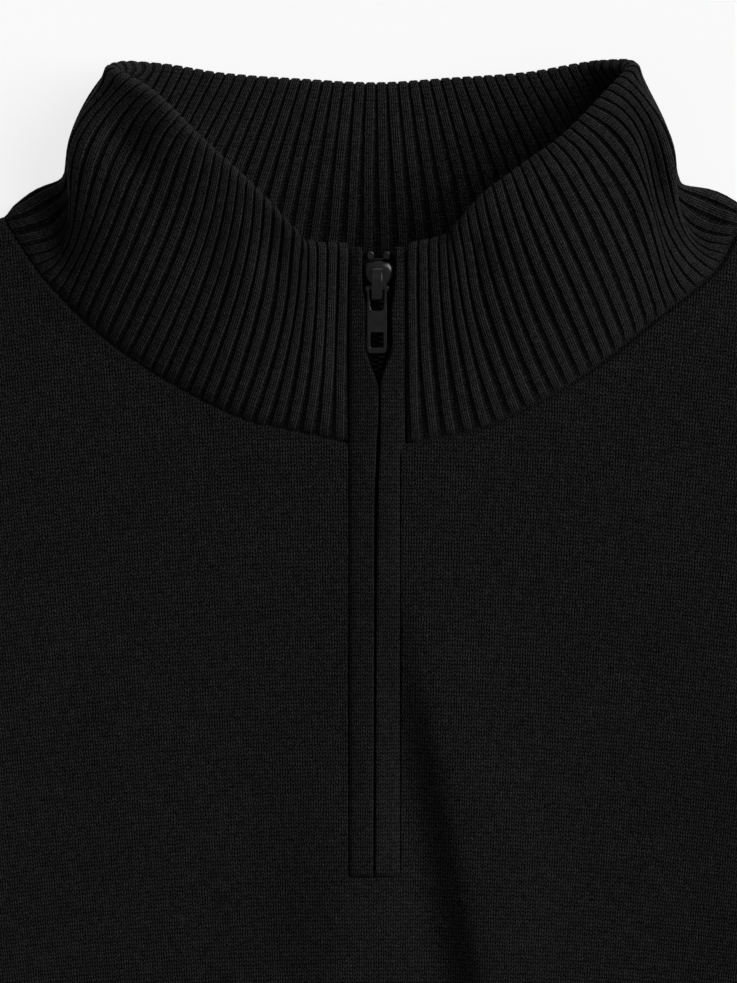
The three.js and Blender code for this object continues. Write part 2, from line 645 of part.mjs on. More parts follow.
place('back_panel', prism(backOutline(), 0, KNIT), CLOTH);
place('front_panel', frontPanel(), CLOTH);
place('sleeve_left', sleeve(-1), CLOTH);
place('sleeve_right', sleeve(1), CLOTH);
place('cuff_left', cuff(-1), RIB_CLOTH);
place('cuff_right', cuff(1), RIB_CLOTH);
place('hem_band', hemBand(), RIB_CLOTH);
place('collar', collar(), RIB_CLOTH);
place('placket_left', placketStrip(-1), CLOTH);
place('placket_right', placketStrip(1), CLOTH);
place('zip_tape_left', zipTape(-1), TAPE_CLOTH);
place('zip_tape_right', zipTape(1), TAPE_CLOTH);
place('zip_chain', zipChain(), COIL);

const zipTop = new THREE.Group();
zipTop.position.set(SLIDER_X, SLIDER_Y, centreHeight(0, SLIDER_Y));
zipTop.rotation.x = Math.atan2(centreHeight(0, ZIP_TOP) - centreHeight(0, 35), ZIP_TOP - 35);
garment.add(zipTop);
place('zip_slider', slider(), LACQUER, zipTop);
place('zip_stop_left', topStop(), LACQUER, zipTop).position.set(-2.4, 7.2, 0);
place('zip_stop_right', topStop(), LACQUER, zipTop).position.set(2.4, 7.2, 0);
place('zip_pull', pull(), LACQUER, zipTop).position.set(0, PULL_PIVOT.y, PULL_PIVOT.z);

// The origin goes to the middle of the area that the garment lies on.
const box = new THREE.Box3().setFromObject(garment);
garment.position.set(-(box.min.x + box.max.x) / 2, -(box.min.y + box.max.y) / 2, -box.min.z);

export default garment;
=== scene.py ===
# %% [markdown]
# # A quarter zip sweater, laid flat
# A fine black knitted sweater lies on its back on a pale table, its ribbed collar standing and its
# zip closed to the top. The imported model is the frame: it says where every piece is and how large.
# This lesson makes each piece of cloth again as a thin shell on the same form, with its ribs and
# creases, then the small metal parts, and last the finishes and the light.

# %% Open the frame
import math

import bmesh
import bpy
import numpy as np
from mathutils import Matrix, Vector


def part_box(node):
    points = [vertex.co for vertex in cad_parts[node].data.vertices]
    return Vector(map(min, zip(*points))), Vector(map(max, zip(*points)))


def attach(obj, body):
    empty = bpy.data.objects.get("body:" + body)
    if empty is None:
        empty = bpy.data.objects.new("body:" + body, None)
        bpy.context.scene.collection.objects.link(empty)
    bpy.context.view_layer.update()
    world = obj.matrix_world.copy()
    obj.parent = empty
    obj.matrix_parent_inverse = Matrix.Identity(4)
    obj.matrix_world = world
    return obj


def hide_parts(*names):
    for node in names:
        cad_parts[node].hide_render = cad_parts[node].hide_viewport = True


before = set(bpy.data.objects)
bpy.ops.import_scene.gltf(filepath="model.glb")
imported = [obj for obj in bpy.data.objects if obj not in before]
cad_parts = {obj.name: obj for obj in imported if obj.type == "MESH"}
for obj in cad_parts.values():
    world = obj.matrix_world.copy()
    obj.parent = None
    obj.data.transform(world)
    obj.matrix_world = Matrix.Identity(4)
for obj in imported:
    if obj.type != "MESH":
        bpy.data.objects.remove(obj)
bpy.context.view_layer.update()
MM = 0.001
print("nodes in the frame:", len(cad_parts))

# %% [markdown]
# ## Where things are
# All sizes below are in millimetres. Across is counted from the middle of the garment and along
# from the collar seam at the centre front, as a cutter would. The hem's lowest point gives the
# distance from there to the frame's own origin, so nothing has to be fitted by eye. Left and right
# are as the laid front is seen.

# %% Place of the collar seam
HEM_END = -621.3
SEAM_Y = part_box("hem_band")[0][1] / MM - HEM_END
SIDES = {-1: "left", 1: "right"}
HEM_SEAM, SLOT_END, ZIP_TOP = -551, -130.5, 57.6
print("collar seam at y =", round(SEAM_Y, 2), "mm")

# %% [markdown]
# ## Camera
# The photograph is taken from straight above and shows the collar and the upper chest. A long lens
# from far away keeps the standing collar from leaning outward in the picture, as in the photograph.

# %% Camera
PIXEL = 0.30
VIEW_CENTRE = (-2.25, -14.55)
VIEW_DISTANCE = 2500
VIEW_LEVEL = 18
SENSOR = 36
PHOTO_HEIGHT = 983

camera_data = bpy.data.cameras.new("Camera")
camera_data.sensor_width = SENSOR
camera_data.lens = SENSOR * VIEW_DISTANCE / (PHOTO_HEIGHT * PIXEL)
camera_data.clip_end = 200
camera = bpy.data.objects.new("Camera", camera_data)
view_from = (VIEW_CENTRE[0], VIEW_CENTRE[1] + SEAM_Y, VIEW_DISTANCE + VIEW_LEVEL)
camera.location = [c * MM for c in view_from]
bpy.context.scene.collection.objects.link(camera)
bpy.context.scene.camera = camera
print("lens", round(camera_data.lens), "mm")

# %% [markdown]
# ## Reading tables smoothly
# A maker draws a curve through a few measured points. This helper does the same: it reads a table
# between its rows by cubic pieces through every row, so that forms stay smooth with few numbers.


# %% Smooth reading
def smooth_reading(rows, place):
    """Values of a table at a place, or at many: its first column is the place of each row."""
    rows = np.asarray(rows, float)
    at, values = rows[:, 0], rows[:, 1:]
    place = np.asarray(place, float)
    i = np.clip(np.searchsorted(at, place, side="right") - 1, 0, len(at) - 2)
    span = at[i + 1] - at[i]
    t = np.clip((place - at[i]) / span, 0, 1)[..., None]
    h = 1 - t
    before, after = np.maximum(np.arange(len(at)) - 1, 0), np.minimum(np.arange(len(at)) + 1, len(at) - 1)
    slope = (values[after] - values[before]) / (at[after] - at[before])[:, None]
    bend = span[..., None] * t * h * (h * slope[i] - t * slope[i + 1])
    return h * h * (1 + 2 * t) * values[i] + t * t * (3 - 2 * t) * values[i + 1] + bend


def smooth_step(low, high, x):
    t = np.clip((x - low) / (high - low), 0, 1)
    return t * t * (3 - 2 * t)


# %% [markdown]
# ## The collar's path
# The collar is a band of two by two rib, folded double. One row below is one rib line: its foot on
# the neck seam, a point half way up and its top edge, each as across, along and height. Ribs are
# counted from the left of the zip, round the back of the neck, to its right.

# %% Collar table
COLLAR = [
    [0, -8.4, 0.6, 12, -8.7, 29.4, 20, -8.4, 57.9, 27],
    [4, -27.9, 4.8, 12, -22.2, 33.3, 22.5, -21, 58.8, 29.5],
    [6, -36.9, 6.6, 12, -27.9, 38.4, 25, -25.5, 63.6, 33.5],
    [9, -48.9, 11.7, 11.5, -38.1, 43.8, 28, -33.6, 72, 37],
    [13, -63.9, 19.8, 11, -50.1, 52.5, 29.5, -43.2, 81, 37.5],
    [18, -81, 31.5, 10, -65.4, 60.9, 28, -54.9, 91.5, 37],
    [24, -98.1, 48, 8.5, -84.3, 70.5, 24, -68.7, 104.4, 35],
    [28, -106.5, 59.4, 6.8, -92.4, 77.4, 17.5, -78.6, 110.4, 29.5],
    [30, -111, 66.9, 5.4, -94.5, 78.3, 12, -76.8, 112, 21],
    [32, -110.7, 66.9, 1.7, -92.4, 78.6, 5.5, -71.7, 112.9, 9.5],
    [34, -105.6, 62.1, 1.4, -85.8, 78, 2.2, -65.1, 112.8, 4.2],
    [40, -79.8, 52.5, 1.4, -63.9, 77.7, 1.4, -46.2, 110.1, 1.8],
    [47, -40.8, 45.9, 1.4, -33, 75.9, 1.4, -23.1, 108.3, 1.6],
    [54, 0, 43.5, 1.4, 0, 75, 1.4, 0, 107.1, 1.6],
    [61, 40.8, 45.9, 1.4, 33, 75.9, 1.4, 23.1, 108.6, 1.6],
    [68, 79.2, 52.2, 1.4, 64.2, 77.4, 1.4, 45.9, 110.4, 1.8],
    [74, 104.2, 62.7, 1.4, 86.4, 77.7, 2.2, 64.8, 113.4, 4.2],
    [76, 110.4, 68.8, 1.7, 92.7, 78, 5.5, 69.6, 113.4, 9.5],
    [78, 110.7, 68.2, 5.4, 94.8, 76.5, 12, 75, 112.8, 21],
    [80, 107.4, 62.2, 6.8, 93.9, 73.2, 18.5, 76.4, 110.9, 29.5],
    [84, 101.4, 51.9, 8.5, 88.2, 68.7, 24, 70.2, 104.1, 35],
    [90, 84, 37.8, 10, 71.4, 63.3, 28, 56.7, 90.3, 37],
    [95, 67.8, 24.9, 11, 55.5, 52.5, 29.5, 43.5, 80.7, 37.5],
    [99, 52.8, 15, 11.5, 40.8, 43.8, 28, 32.4, 72.6, 37],
    [102, 39.6, 8.4, 12, 30, 38.4, 25, 25.5, 65.4, 34],
    [104, 30.3, 4.5, 12, 24.3, 33.3, 22.5, 21.9, 60.9, 30],
    [108, 9.3, 0.3, 12, 9, 29.4, 20, 9.6, 57.9, 27],
]
COLLAR_RIBS = 108
COLLAR_HEIGHT = 66
# Where the collar bends sideways, over each shoulder: how far a rib is pushed, across, along and up,
# at a quarter, a half and three quarters of its height.
UNBENT = [0] * 9
COLLAR_BENDS = [
    [0, *UNBENT], [15, *UNBENT],
    [17, -0.6, 0.3, 0, -0.9, 0.6, 0, -0.9, 0.6, 0],
    [19, -1.4, 1.0, 0, -2.0, 1.6, -0.4, -2.3, 1.6, -0.8],
    [21.5, -0.3, 2.8, -0.8, -1.2, 4.0, -1.0, -2.0, 3.6, -2.2],
    [23, 1.8, 3.0, -1.8, -0.2, 5.0, -0.6, -2.2, 4.4, -2.4],
    [25, 3.6, 3.2, -3.6, -0.9, 7.0, 0.8, -3.2, 6.4, -0.6],
    [27, 5.8, 2.2, -4.8, -1.0, 7.0, 1.2, -2.0, 6.6, 0.8],
    [29, 7.2, 3.6, -3.8, 2.0, 6.8, 0.9, -0.4, 6.0, 0.8],
    [31, 3.4, 7.4, -0.9, 1.8, 8.8, 0.4, -1.4, 8.0, 0.6],
    [32.5, 2.4, 6.4, 0, 1.0, 6.0, 0.3, -0.4, 4.0, 0.3],
    [34.5, *UNBENT], [54, *UNBENT], [73.5, *UNBENT],
    [75.5, -2.4, 6.0, 0, -1.8, 6.4, 0.3, -0.8, 4.4, 0.3],
    [77.5, -5.8, 8.4, -0.8, -5.0, 10.0, 0.6, -2.2, 8.2, 1.0],
    [80, -8.6, 5.6, -4.4, -5.6, 11.2, 1.4, -2.8, 9.4, 1.6],
    [82, -7.2, 4.8, -4.2, -3.4, 10.4, 1.2, -0.2, 9.6, 1.4],
    [84, -5.4, 4.8, -3.0, -3.0, 9.2, -0.6, 0.8, 8.8, 0.2],
    [86, -3.8, 3.9, -1.8, -1.2, 7.4, -2.0, 2.4, 7.4, -1.2],
    [88, -0.4, 3.3, -0.6, 1.8, 5.7, -1.8, 2.2, 5.1, -1.6],
    [90, 0.9, 1.8, 0, 1.2, 2.7, -0.6, 1.2, 3.0, -0.8],
    [92, 0.5, 1.0, 0, 0.8, 1.5, 0, 0.8, 1.6, 0],
    [95, *UNBENT], [108, *UNBENT],
]
# Dents and swellings of the wall: rib, share of the height, their two half widths, depth.
COLLAR_DENTS = [
    [22.6, 0.78, 2.2, 0.10, -2.6], [25.4, 0.70, 1.5, 0.16, 1.0], [18.5, 0.72, 2.6, 0.14, -1.3],
    [14.0, 0.54, 4.0, 0.25, -2.8], [7.4, 0.74, 1.7, 0.17, -2.4], [3.4, 0.55, 1.2, 0.30, 0.7],
    [1.0, 0.50, 0.9, 0.36, -0.8], [84.6, 0.57, 1.3, 0.24, -2.2], [82.2, 0.62, 1.2, 0.22, 1.0],
    [89.5, 0.76, 3.0, 0.12, -1.2], [95.5, 0.56, 2.4, 0.26, 0.8], [101.0, 0.78, 1.6, 0.15, -1.9],
    [106.2, 0.45, 1.2, 0.34, -0.7], [42.0, 0.55, 2.4, 0.30, -0.5], [49.0, 0.40, 3.2, 0.24, 0.5],
    [60.0, 0.60, 2.6, 0.26, -0.5], [67.5, 0.45, 2.2, 0.34, 0.5],
]
# Corners where the wall starts to stand, over each shoulder: rib, share of the height, their two
# half widths, and how far the wall is pushed, across, along and up.
COLLAR_CORNERS = [
    [31.0, 0.36, 2.6, 0.13, 2.4, -2.6, -0.2], [28.2, 0.40, 1.8, 0.15, 1.6, -1.0, -1.4],
    [77.0, 0.36, 2.6, 0.15, -4.2, -4.2, -0.2], [80.2, 0.40, 1.8, 0.15, -1.8, -1.2, -1.4],
]


def near(spot, rib, up):
    """A share that is 1 at a spot of the wall and fades out round it."""
    at_rib, at_up, wide, high = spot
    return np.exp(-(((rib - at_rib) / wide) ** 2) - ((up - at_up) / high) ** 2)


def collar_dent(rib, up):
    return sum(depth * near(spot, rib, up) for *spot, depth in COLLAR_DENTS)


# What the bending curves below come to at a quarter and at half of the height, which sets them to 1.
QUARTER, HALF_WAY = 0.0234375, 0.015625


def collar_point(rib, up):
    """The collar's middle surface: rib counts round it, up runs from 0 at the seam to 1."""
    line, bend = smooth_reading(COLLAR, rib), smooth_reading(COLLAR_BENDS, rib)
    up = np.asarray(up, float)[..., None]
    foot, middle, top = 2 * (up - 0.5) * (up - 1), 4 * up * (1 - up), 2 * up * (up - 0.5)
    point = foot * line[..., :3] + middle * line[..., 3:6] + top * line[..., 6:]
    ends = up * (1 - up)
    low, half, high = (up - 0.5) * (up - 0.75), (up - 0.25) * (up - 0.75), (up - 0.25) * (up - 0.5)
    pushed = low * bend[..., :3] / QUARTER - half * bend[..., 3:6] / HALF_WAY
    pushed = pushed + high * bend[..., 6:] / QUARTER
    point = point + ends * pushed
    rib = np.asarray(rib, float)[..., None]
    for *spot, x, y, z in COLLAR_CORNERS:
        point = point + near(spot, rib, up) * [x, y, z]
    return point


def unit(v):
    return v / np.maximum(np.linalg.norm(v, axis=-1, keepdims=True), 1e-9)


def collar_normal(rib, up):
    ahead, behind = np.minimum(rib + 0.4, COLLAR_RIBS), np.maximum(rib - 0.4, 0)
    around = collar_point(ahead, up) - collar_point(behind, up)
    rise = collar_point(rib, np.minimum(up + 0.06, 1)) - collar_point(rib, np.maximum(up - 0.06, 0))
    rise[..., 2] *= smooth_step(0, 0.04, up)
    return unit(np.cross(rise, around))


print("collar top at the back, mm:", collar_point(54, 1.0).round(1))

# %% [markdown]
# ## Laying cloth on a form
# Every piece of cloth starts as a flat grid, like the knitted blank on a table. Each crossing of
# the grid is then put where the form wants it, and the grid keeps its own UV map, counted in
# millimetres or in ribs along the wales, so that the stitches follow the cloth and not the room.
# A tube is a grid whose last column is welded to its first.


# %% Cloth from a grid
def laid_cloth(name, columns, rows, place, welded=False, closed_ends=False):
    """A mesh object. place(i, j) takes arrays of grid places and gives points and wale places."""
    bm = bmesh.new()
    bmesh.ops.create_grid(bm, x_segments=columns, y_segments=rows, size=0.5)
    bm.verts.index_update()
    flat = np.array([v.co for v in bm.verts])
    i, j = (np.rint((flat[:, k] + 0.5) * n).astype(int) for k, n in ((0, columns), (1, rows)))
    points, wales = place(i, j)
    points = (points + np.array([0, SEAM_Y, 0])) * MM
    for v, p in zip(bm.verts, points):
        v.co = p
    uv = bm.loops.layers.uv.new("Wales")
    wales = wales.tolist()
    for face in bm.faces:
        face.smooth = True
        for loop in face.loops:
            loop[uv].uv = wales[loop.vert.index]
    if welded:
        bmesh.ops.remove_doubles(bm, verts=bm.verts, dist=1e-6)
    if closed_ends:
        bmesh.ops.holes_fill(bm, edges=[e for e in bm.edges if e.is_boundary], sides=0)
    if welded or closed_ends:
        bmesh.ops.recalc_face_normals(bm, faces=bm.faces)
    else:
        bm.normal_update()
        if sum(f.normal.z for f in bm.faces) < 0:
            bmesh.ops.reverse_faces(bm, faces=bm.faces)
    return finished(name, bm)


def finished(name, bm):
    """Turns a bmesh into an object at the origin, unturned and unscaled."""
    mesh = bpy.data.meshes.new(name)
    bm.to_mesh(mesh)
    bm.free()
    obj = bpy.data.objects.new(name, mesh)
    bpy.context.scene.collection.objects.link(obj)
    print(name, "faces:", len(mesh.polygons))
    return obj


def thickened(obj, thickness):
    """Gives an open sheet its thickness, inward from the side that shows."""
    wall = obj.modifiers.new("Thickness", "SOLIDIFY")
    wall.thickness = thickness * MM
    wall.offset = -1
    return obj


# %% [markdown]
# ## Height of the laid front
# The front lies over the back: low at its side and shoulder edges, a little raised in between, and
# rising to the standing collar. Folds are soft ridges and troughs along given lines. No two
# have the same length, width or height, because cloth never creases evenly.

# %% Front height
EDGE_HEIGHT, REST_HEIGHT, EDGE_ROLL = 3.3, 6.8, 48
SIDE = [[243, HEM_SEAM], [252, -470], [259, -360], [265, -260], [268.5, -205], [270, -176]]
SHOULDER = [[225, 30], [111, 69]]
ARMHOLE = [
    [0, 270, -176], [0.12, 251, -160], [0.3, 227, -128], [0.5, 213, -85], [0.75, 212, -25], [1, 225, 30],
]
# Each fold: from across, along to across, along, width left and right of it, height, bow.
FRONT_FOLDS = [
    [0, 10, -2, -150, 24, 20, 2.2, 0],
    [13.5, -56, 43, -218, 7, 24, 5.0, 0],
    [4, -60, 34, -218, 10, 6, -3.4, 0],
    [-16, -100, -8, -260, 13, 17, 3.4, 0],
    [-34, -150, -40, -290, 9, 12, 1.6, 3],
    [118, -70, 128, -215, 26, 30, 2.6, 4],
    [-98, -80, -106, -220, 22, 24, -1.4, 3],
    [-232, -168, -120, -262, 14, 22, 3.5, 8],
    [236, -176, 140, -300, 14, 24, 4.1, -9],
    [-222, -60, -150, -30, 16, 20, 2.3, 0],
    [205, -20, 140, 12, 16, 22, 2.0, 0],
    [-150, -360, -40, -420, 20, 28, 3.2, 9],
    [60, -380, 190, -470, 22, 30, 3.8, -10],
    [-60, -480, 40, -520, 18, 26, 2.6, 5],
    [246, -182, 196, -222, 7, 9, 2.2, -3],
    [-244, -176, -186, -205, 6, 9, 2.0, 3],
    [-214, -238, -150, -330, 10, 15, 1.7, -6],
    [208, -330, 232, -440, 9, 14, 1.9, 4],
    [-196, -440, -228, -520, 9, 13, 2.0, 3],
    [-6, -236, 22, -345, 12, 16, 1.6, 5],
    [84, -226, 66, -322, 12, 18, -1.9, 4],
    [150, -508, 176, -546, 6, 8, 1.4, 0],
    [-118, -514, -126, -548, 5, 7, 1.3, 0],
    [-20, -522, -12, -549, 5, 6, 1.2, 0],
    [74, -518, 70, -549, 4, 6, 1.3, 0],
]


def fold_height(folds, x, y):
    total = np.zeros(np.shape(x))
    for x0, y0, x1, y1, left, right, height, bow in folds:
        along = np.array([x1 - x0, y1 - y0], float)
        length = np.hypot(*along)
        along /= length
        place = ((x - x0) * along[0] + (y - y0) * along[1]) / length
        aside = (y - y0) * along[0] - (x - x0) * along[1] - bow * 4 * place * (1 - place)
        width = np.where(aside > 0, right, left)
        ends = smooth_step(-0.2, 0.25, place) * (1 - smooth_step(0.75, 1.2, place))
        total += height * ends * np.exp(-((aside / width) ** 2))
    return total


def line_distance(x, y, line):
    best = np.full(np.shape(x), np.inf)
    for (ax, ay), (bx, by) in zip(line, line[1:]):
        dx, dy = bx - ax, by - ay
        t = np.clip(((x - ax) * dx + (y - ay) * dy) / (dx * dx + dy * dy), 0, 1)
        best = np.minimum(best, np.hypot(x - ax - t * dx, y - ay - t * dy))
    return best


COLLAR_FOOT = collar_point(np.concatenate([np.linspace(0, 30, 61), np.linspace(78, 108, 61)]), 0.0)


def front_height(x, y):
    """Height of the front panel's middle surface."""
    edge = np.minimum(line_distance(np.abs(x), y, SIDE), line_distance(np.abs(x), y, SHOULDER))
    rise = np.sqrt(smooth_step(-EDGE_ROLL, EDGE_ROLL, edge) * 2 - 1)
    folded = EDGE_HEIGHT + (REST_HEIGHT - EDGE_HEIGHT) * rise
    folded = folded + fold_height(FRONT_FOLDS, x, y) * smooth_step(0, EDGE_ROLL, edge)
    away = np.hypot(COLLAR_FOOT[:, 0] - x[..., None], COLLAR_FOOT[:, 1] - y[..., None])
    nearest = COLLAR_FOOT[away.argmin(-1), 2]
    mix = 1 - np.exp(-((away.min(-1) / 42) ** 1.2))
    return nearest * (1 - mix) + np.maximum(folded, EDGE_HEIGHT) * mix


print("front height at the placket's end, mm:", front_height(np.array([0.0]), np.array([-130.0])).round(2))

# %% [markdown]
# ## Front and back panels
# Each is knitted to shape: straight below the arms, curved in at the armholes and the neck. Half a
# panel is a grid whose rows run from the neck or the zip out to the armhole or side, so its edges
# follow the cut. The outermost columns roll over, which is what a seam does to an edge. The wales
# spread a little on their way up, as the photograph shows, so the UV map spreads with them.

# %% Panels
JERSEY_THICK = 1.5
SIDE_ROLL = np.array([[0, 0], [0.9, 0.8], [1.6, 2.0], [1.9, 3.2]])
ARM_ROLL = np.array([[0, 0], [0.1, 0.4], [0.16, 1.0], [0.18, 1.7]])
NECK_DIP = np.array([[0, 1.3], [0.45, 0.7], [1.2, 0.15]])
WALE_SPREAD = 0.0010
SEAM_GAP = 0.42


def polyline(points, count):
    """count points, evenly along a line through the given ones."""
    points = np.asarray(points, float)
    length = np.concatenate([[0], np.hypot(*np.diff(points, axis=0).T).cumsum()])
    at = np.linspace(0, length[-1], count)
    return np.column_stack([np.interp(at, length, points[:, k]) for k in (0, 1)])


def armhole(u):
    return smooth_reading(ARMHOLE, u)


def beyond_armhole(u):
    """The way from the body to the sleeve, square to the armhole."""
    turn = unit(armhole(u + 0.02) - armhole(u - 0.02))
    return np.column_stack([turn[:, 1], -turn[:, 0]])


def neck_line(ribs):
    """The neckline a seam's gap outside the collar's foot."""
    foot = collar_point(ribs, 0.0)[:, :2]
    along = collar_point(ribs + 0.3, 0.0)[:, :2] - collar_point(ribs - 0.3, 0.0)[:, :2]
    away = unit(np.column_stack([along[:, 1], -along[:, 0]]))
    lying = (ribs > 31) & (ribs < 77)
    return foot - np.where(lying, -1, 1)[:, None] * away * SEAM_GAP


def wale_places(x, y):
    """Places in the knit of the body: wales across, courses along, both in millimetres."""
    up = np.clip(y + 230, 0, None)
    bow = WALE_SPREAD * x * x / 2 * smooth_step(0, 60, up)
    return np.column_stack([x / (1 + WALE_SPREAD * up), y + bow])


def half_panel(name, side, inner, outer, height, columns, rolled):
    """inner and outer are the half's two edges, row by row, for the right-hand side. A rolled panel
    turns over at its side and shoulder and dips at its neck and zip edges."""
    extra = 3 if rolled else 0
    inner, outer = (np.concatenate([np.repeat(edge[:1], extra, 0), edge]) for edge in (inner, outer))
    rows = len(inner) - 1
    outward = np.gradient(outer, axis=0)
    outward = unit(np.column_stack([-outward[:, 1], outward[:, 0]]))
    arm = smooth_step(-195, -176, outer[:, 1])
    sewn = smooth_step(-0.3, -0.1, inner[:, 1]) * rolled

    def place(i, j):
        j = rows - j
        share = np.clip((i - 2) / columns, 0, 1)
        share = share * (0.62 + 0.38 * share)
        way = outer[j] - inner[j]
        length = np.hypot(*way.T)
        step = np.clip(i, 0, 2)
        share = np.where(i < 3, NECK_DIP[step, 0] / length, np.maximum(share, 1.2 / length))
        point = inner[j] + way * share[:, None]
        beyond = np.clip(i - columns - 2, 0, 3)
        roll = SIDE_ROLL[beyond] * (1 - arm[j])[:, None] + ARM_ROLL[beyond] * arm[j][:, None]
        point = point + outward[j] * roll[:, :1]
        over = SIDE_ROLL[np.clip(extra - j, 0, 3)]
        x, y = point[:, 0] * side, point[:, 1] + over[:, 0]
        dip = np.where(i < 3, NECK_DIP[step, 1], 0) * sewn[j]
        z = height(x, y) - roll[:, 1] - over[:, 1] - dip
        return np.column_stack([x, y, z]), wale_places(x, y)

    return laid_cloth(name, columns + 2 + extra, rows, place)


def both_halves(name, half, thickness):
    """Sews a right and a left half into one panel, welding where their edges meet."""
    bm = bmesh.new()
    for part in (half(1), half(-1)):
        bm.from_mesh(part.data)
        bpy.data.meshes.remove(part.data)
    bmesh.ops.remove_doubles(bm, verts=bm.verts, dist=2e-6)
    return thickened(finished(name, bm), thickness)


def outer_edge(arm_rows, side_rows):
    arm = armhole(np.linspace(1, 0, arm_rows))
    side = polyline(SIDE[::-1], side_rows + 1)
    return np.concatenate([arm, side[1:]])


def front_half(side):
    zip_x = 7.5 if side > 0 else 8.4
    ribs = np.linspace(78.6, 107.6, 45) if side > 0 else np.linspace(30.0, 0.4, 45)
    neck = neck_line(ribs) * [side, 1]
    slot = polyline([[zip_x, 0.0], [zip_x, SLOT_END]], 55)
    middle = polyline([[0, SLOT_END - 0.6], [0, HEM_SEAM]], 112)
    inner = np.concatenate([neck, slot, middle])
    outer = outer_edge(len(neck) + len(slot), len(middle))
    return half_panel("front_half", side, inner, outer, lambda x, y: front_height(x, y) + 1.0, 78, True)


front = both_halves("front", front_half, JERSEY_THICK)

# %% [markdown]
# The back is the layer on the table. It lies flat, with only a slight unevenness on the side that
# one sees through the neck.


# %% Back panel
def back_level(x, y):
    return 1.72 + 0.14 * np.sin(x / 31 + y / 57) * np.sin(y / 43 - x / 90)


def back_half(side):
    ribs = np.linspace(74, 54, 40) if side > 0 else np.linspace(34, 54, 40)
    neck = neck_line(ribs) * [side, 1]
    neck[-1, 0] = 0
    middle = polyline([[0, 42.4], [0, HEM_SEAM]], 110)
    inner = np.concatenate([neck, middle])
    outer = outer_edge(60, len(inner) - 60) - [0.5, 0.0]
    return half_panel("back_half", side, inner, outer, back_level, 40, False)


back = both_halves("back", back_half, JERSEY_THICK + 0.1)

# %% [markdown]
# ## Collar
# Two by two rib stands in ridges of two wales with a channel of two purl wales between them. The
# ridges keep their width while the channels close towards the top, where the band is narrower. The
# grid goes up the outer face, over the rolled top edge and down the inner face, then back under to
# where it began. Twelve columns draw one rib.

# %% Collar
COLLAR_HALF = 1.3
# Columns of half a rib: place in the knit, place across in shares of the channel and of the ridge,
# and height from the channel's floor at -1 to the ridge's top at 1.
RIB_COLUMNS = np.array([
    [0.0, 0.0, 0.0, -1.0],
    [0.10, 0.6, 0.0, -0.92],
    [0.17, 0.92, 0.0, -0.35],
    [0.215, 1.0, 0.05, 0.35],
    [0.27, 1.0, 0.16, 0.85],
    [0.36, 1.0, 0.30, 1.0],
    [0.5, 1.0, 0.5, 0.84],
])
RIB_STEPS = 12


def rib_profile(i, ridge_share):
    """Knit place, place across and height of column i, for ridges that take that share of a rib."""
    rib, k = i // RIB_STEPS, i % RIB_STEPS
    back_side = k > RIB_STEPS // 2
    row = RIB_COLUMNS[np.where(back_side, RIB_STEPS - k, k)]
    across = row[:, 1] * (1 - ridge_share) / 2 + row[:, 2] * ridge_share
    knit = np.where(back_side, 1 - row[:, 0], row[:, 0])
    return rib + knit, rib + np.where(back_side, 1 - across, across), row[:, 3]


FACE_ROWS, CROWN_ROWS, CROWN_COURSE = 24, 6, 1.1
collar_rows = 2 * FACE_ROWS + CROWN_ROWS + 1
rng = np.random.default_rng(5)
rib_unevenness = rng.uniform(-1, 1, (4, COLLAR_RIBS + 2))


def place_collar(i, j):
    j = j % collar_rows
    up = np.clip(np.where(j <= FACE_ROWS, j, 2 * FACE_ROWS + CROWN_ROWS - j) / FACE_ROWS, 0, 1)
    up = np.where(up < 1, up ** 0.92, 1)
    turn = np.clip((j - FACE_ROWS) / CROWN_ROWS, 0, 1) * math.pi
    middle_of_rib = np.clip(i // RIB_STEPS + 0.5, 0.5, COLLAR_RIBS - 0.5)
    pitch = np.linalg.norm(
        collar_point(middle_of_rib + 0.5, up) - collar_point(middle_of_rib - 0.5, up), axis=-1
    )
    uneven = rib_unevenness[:, i // RIB_STEPS]
    ridge_share = np.clip((2.95 + 0.16 * uneven[0]) / np.maximum(pitch, 1), 0.55, 0.84)
    knit, rib, ridge = rib_profile(i, ridge_share)
    rib = np.clip(rib + 0.05 * np.sin(up * 5 + uneven[1] * 3) * np.sin(math.pi * up), 0, COLLAR_RIBS)
    rim = np.exp(-(((1 - up) / 0.09) ** 2))
    depth = (0.42 + 0.17 * smooth_step(0, 0.6, up) + 0.05 * uneven[2]) * (1 - 0.55 * rim)
    depth = depth * (1 - 0.3 * turn / math.pi)
    half = COLLAR_HALF + ridge * depth
    half = half * (0.5 + 0.5 * smooth_step(-0.01, 0.035, up)) * (1 + 0.6 * rim)
    middle, normal = collar_point(rib, up), collar_normal(rib, up)
    standing = smooth_step(2, 8, middle[:, 2])
    middle = middle + normal * (collar_dent(rib, up) * (0.15 + 0.85 * standing))[:, None]
    rise = unit(collar_point(rib, np.ones(len(rib))) - collar_point(rib, np.full(len(rib), 0.94)))
    point = middle + normal * (np.cos(turn) * half)[:, None] + rise * (np.sin(turn) * half * 0.85)[:, None]
    facing_down = np.where(turn > 1.6, -normal[:, 2], normal[:, 2]) < -0.5
    lying = np.where(facing_down, 1 - smooth_step(1.9, 2.6, middle[:, 2]), 0)
    point[:, 2] = np.maximum(point[:, 2] * (1 - lying), 0)
    fall = COLLAR_HEIGHT * np.where(j > FACE_ROWS + CROWN_ROWS, 2 - up, up)
    fall = fall + CROWN_COURSE * np.clip(j - FACE_ROWS, 0, CROWN_ROWS)
    return point, np.column_stack([knit, fall])


collar = laid_cloth(
    "collar_band", COLLAR_RIBS * RIB_STEPS, collar_rows, place_collar, welded=True, closed_ends=True
)

# %% [markdown]
# ## Placket
# Two folded strips of jersey hide the zip. Each is a soft rounded band with a rolled inner edge.
# They part at the top, round the slider and its pull. A section goes round the band, and the rows
# run down the zip. The ends are drawn in and closed.

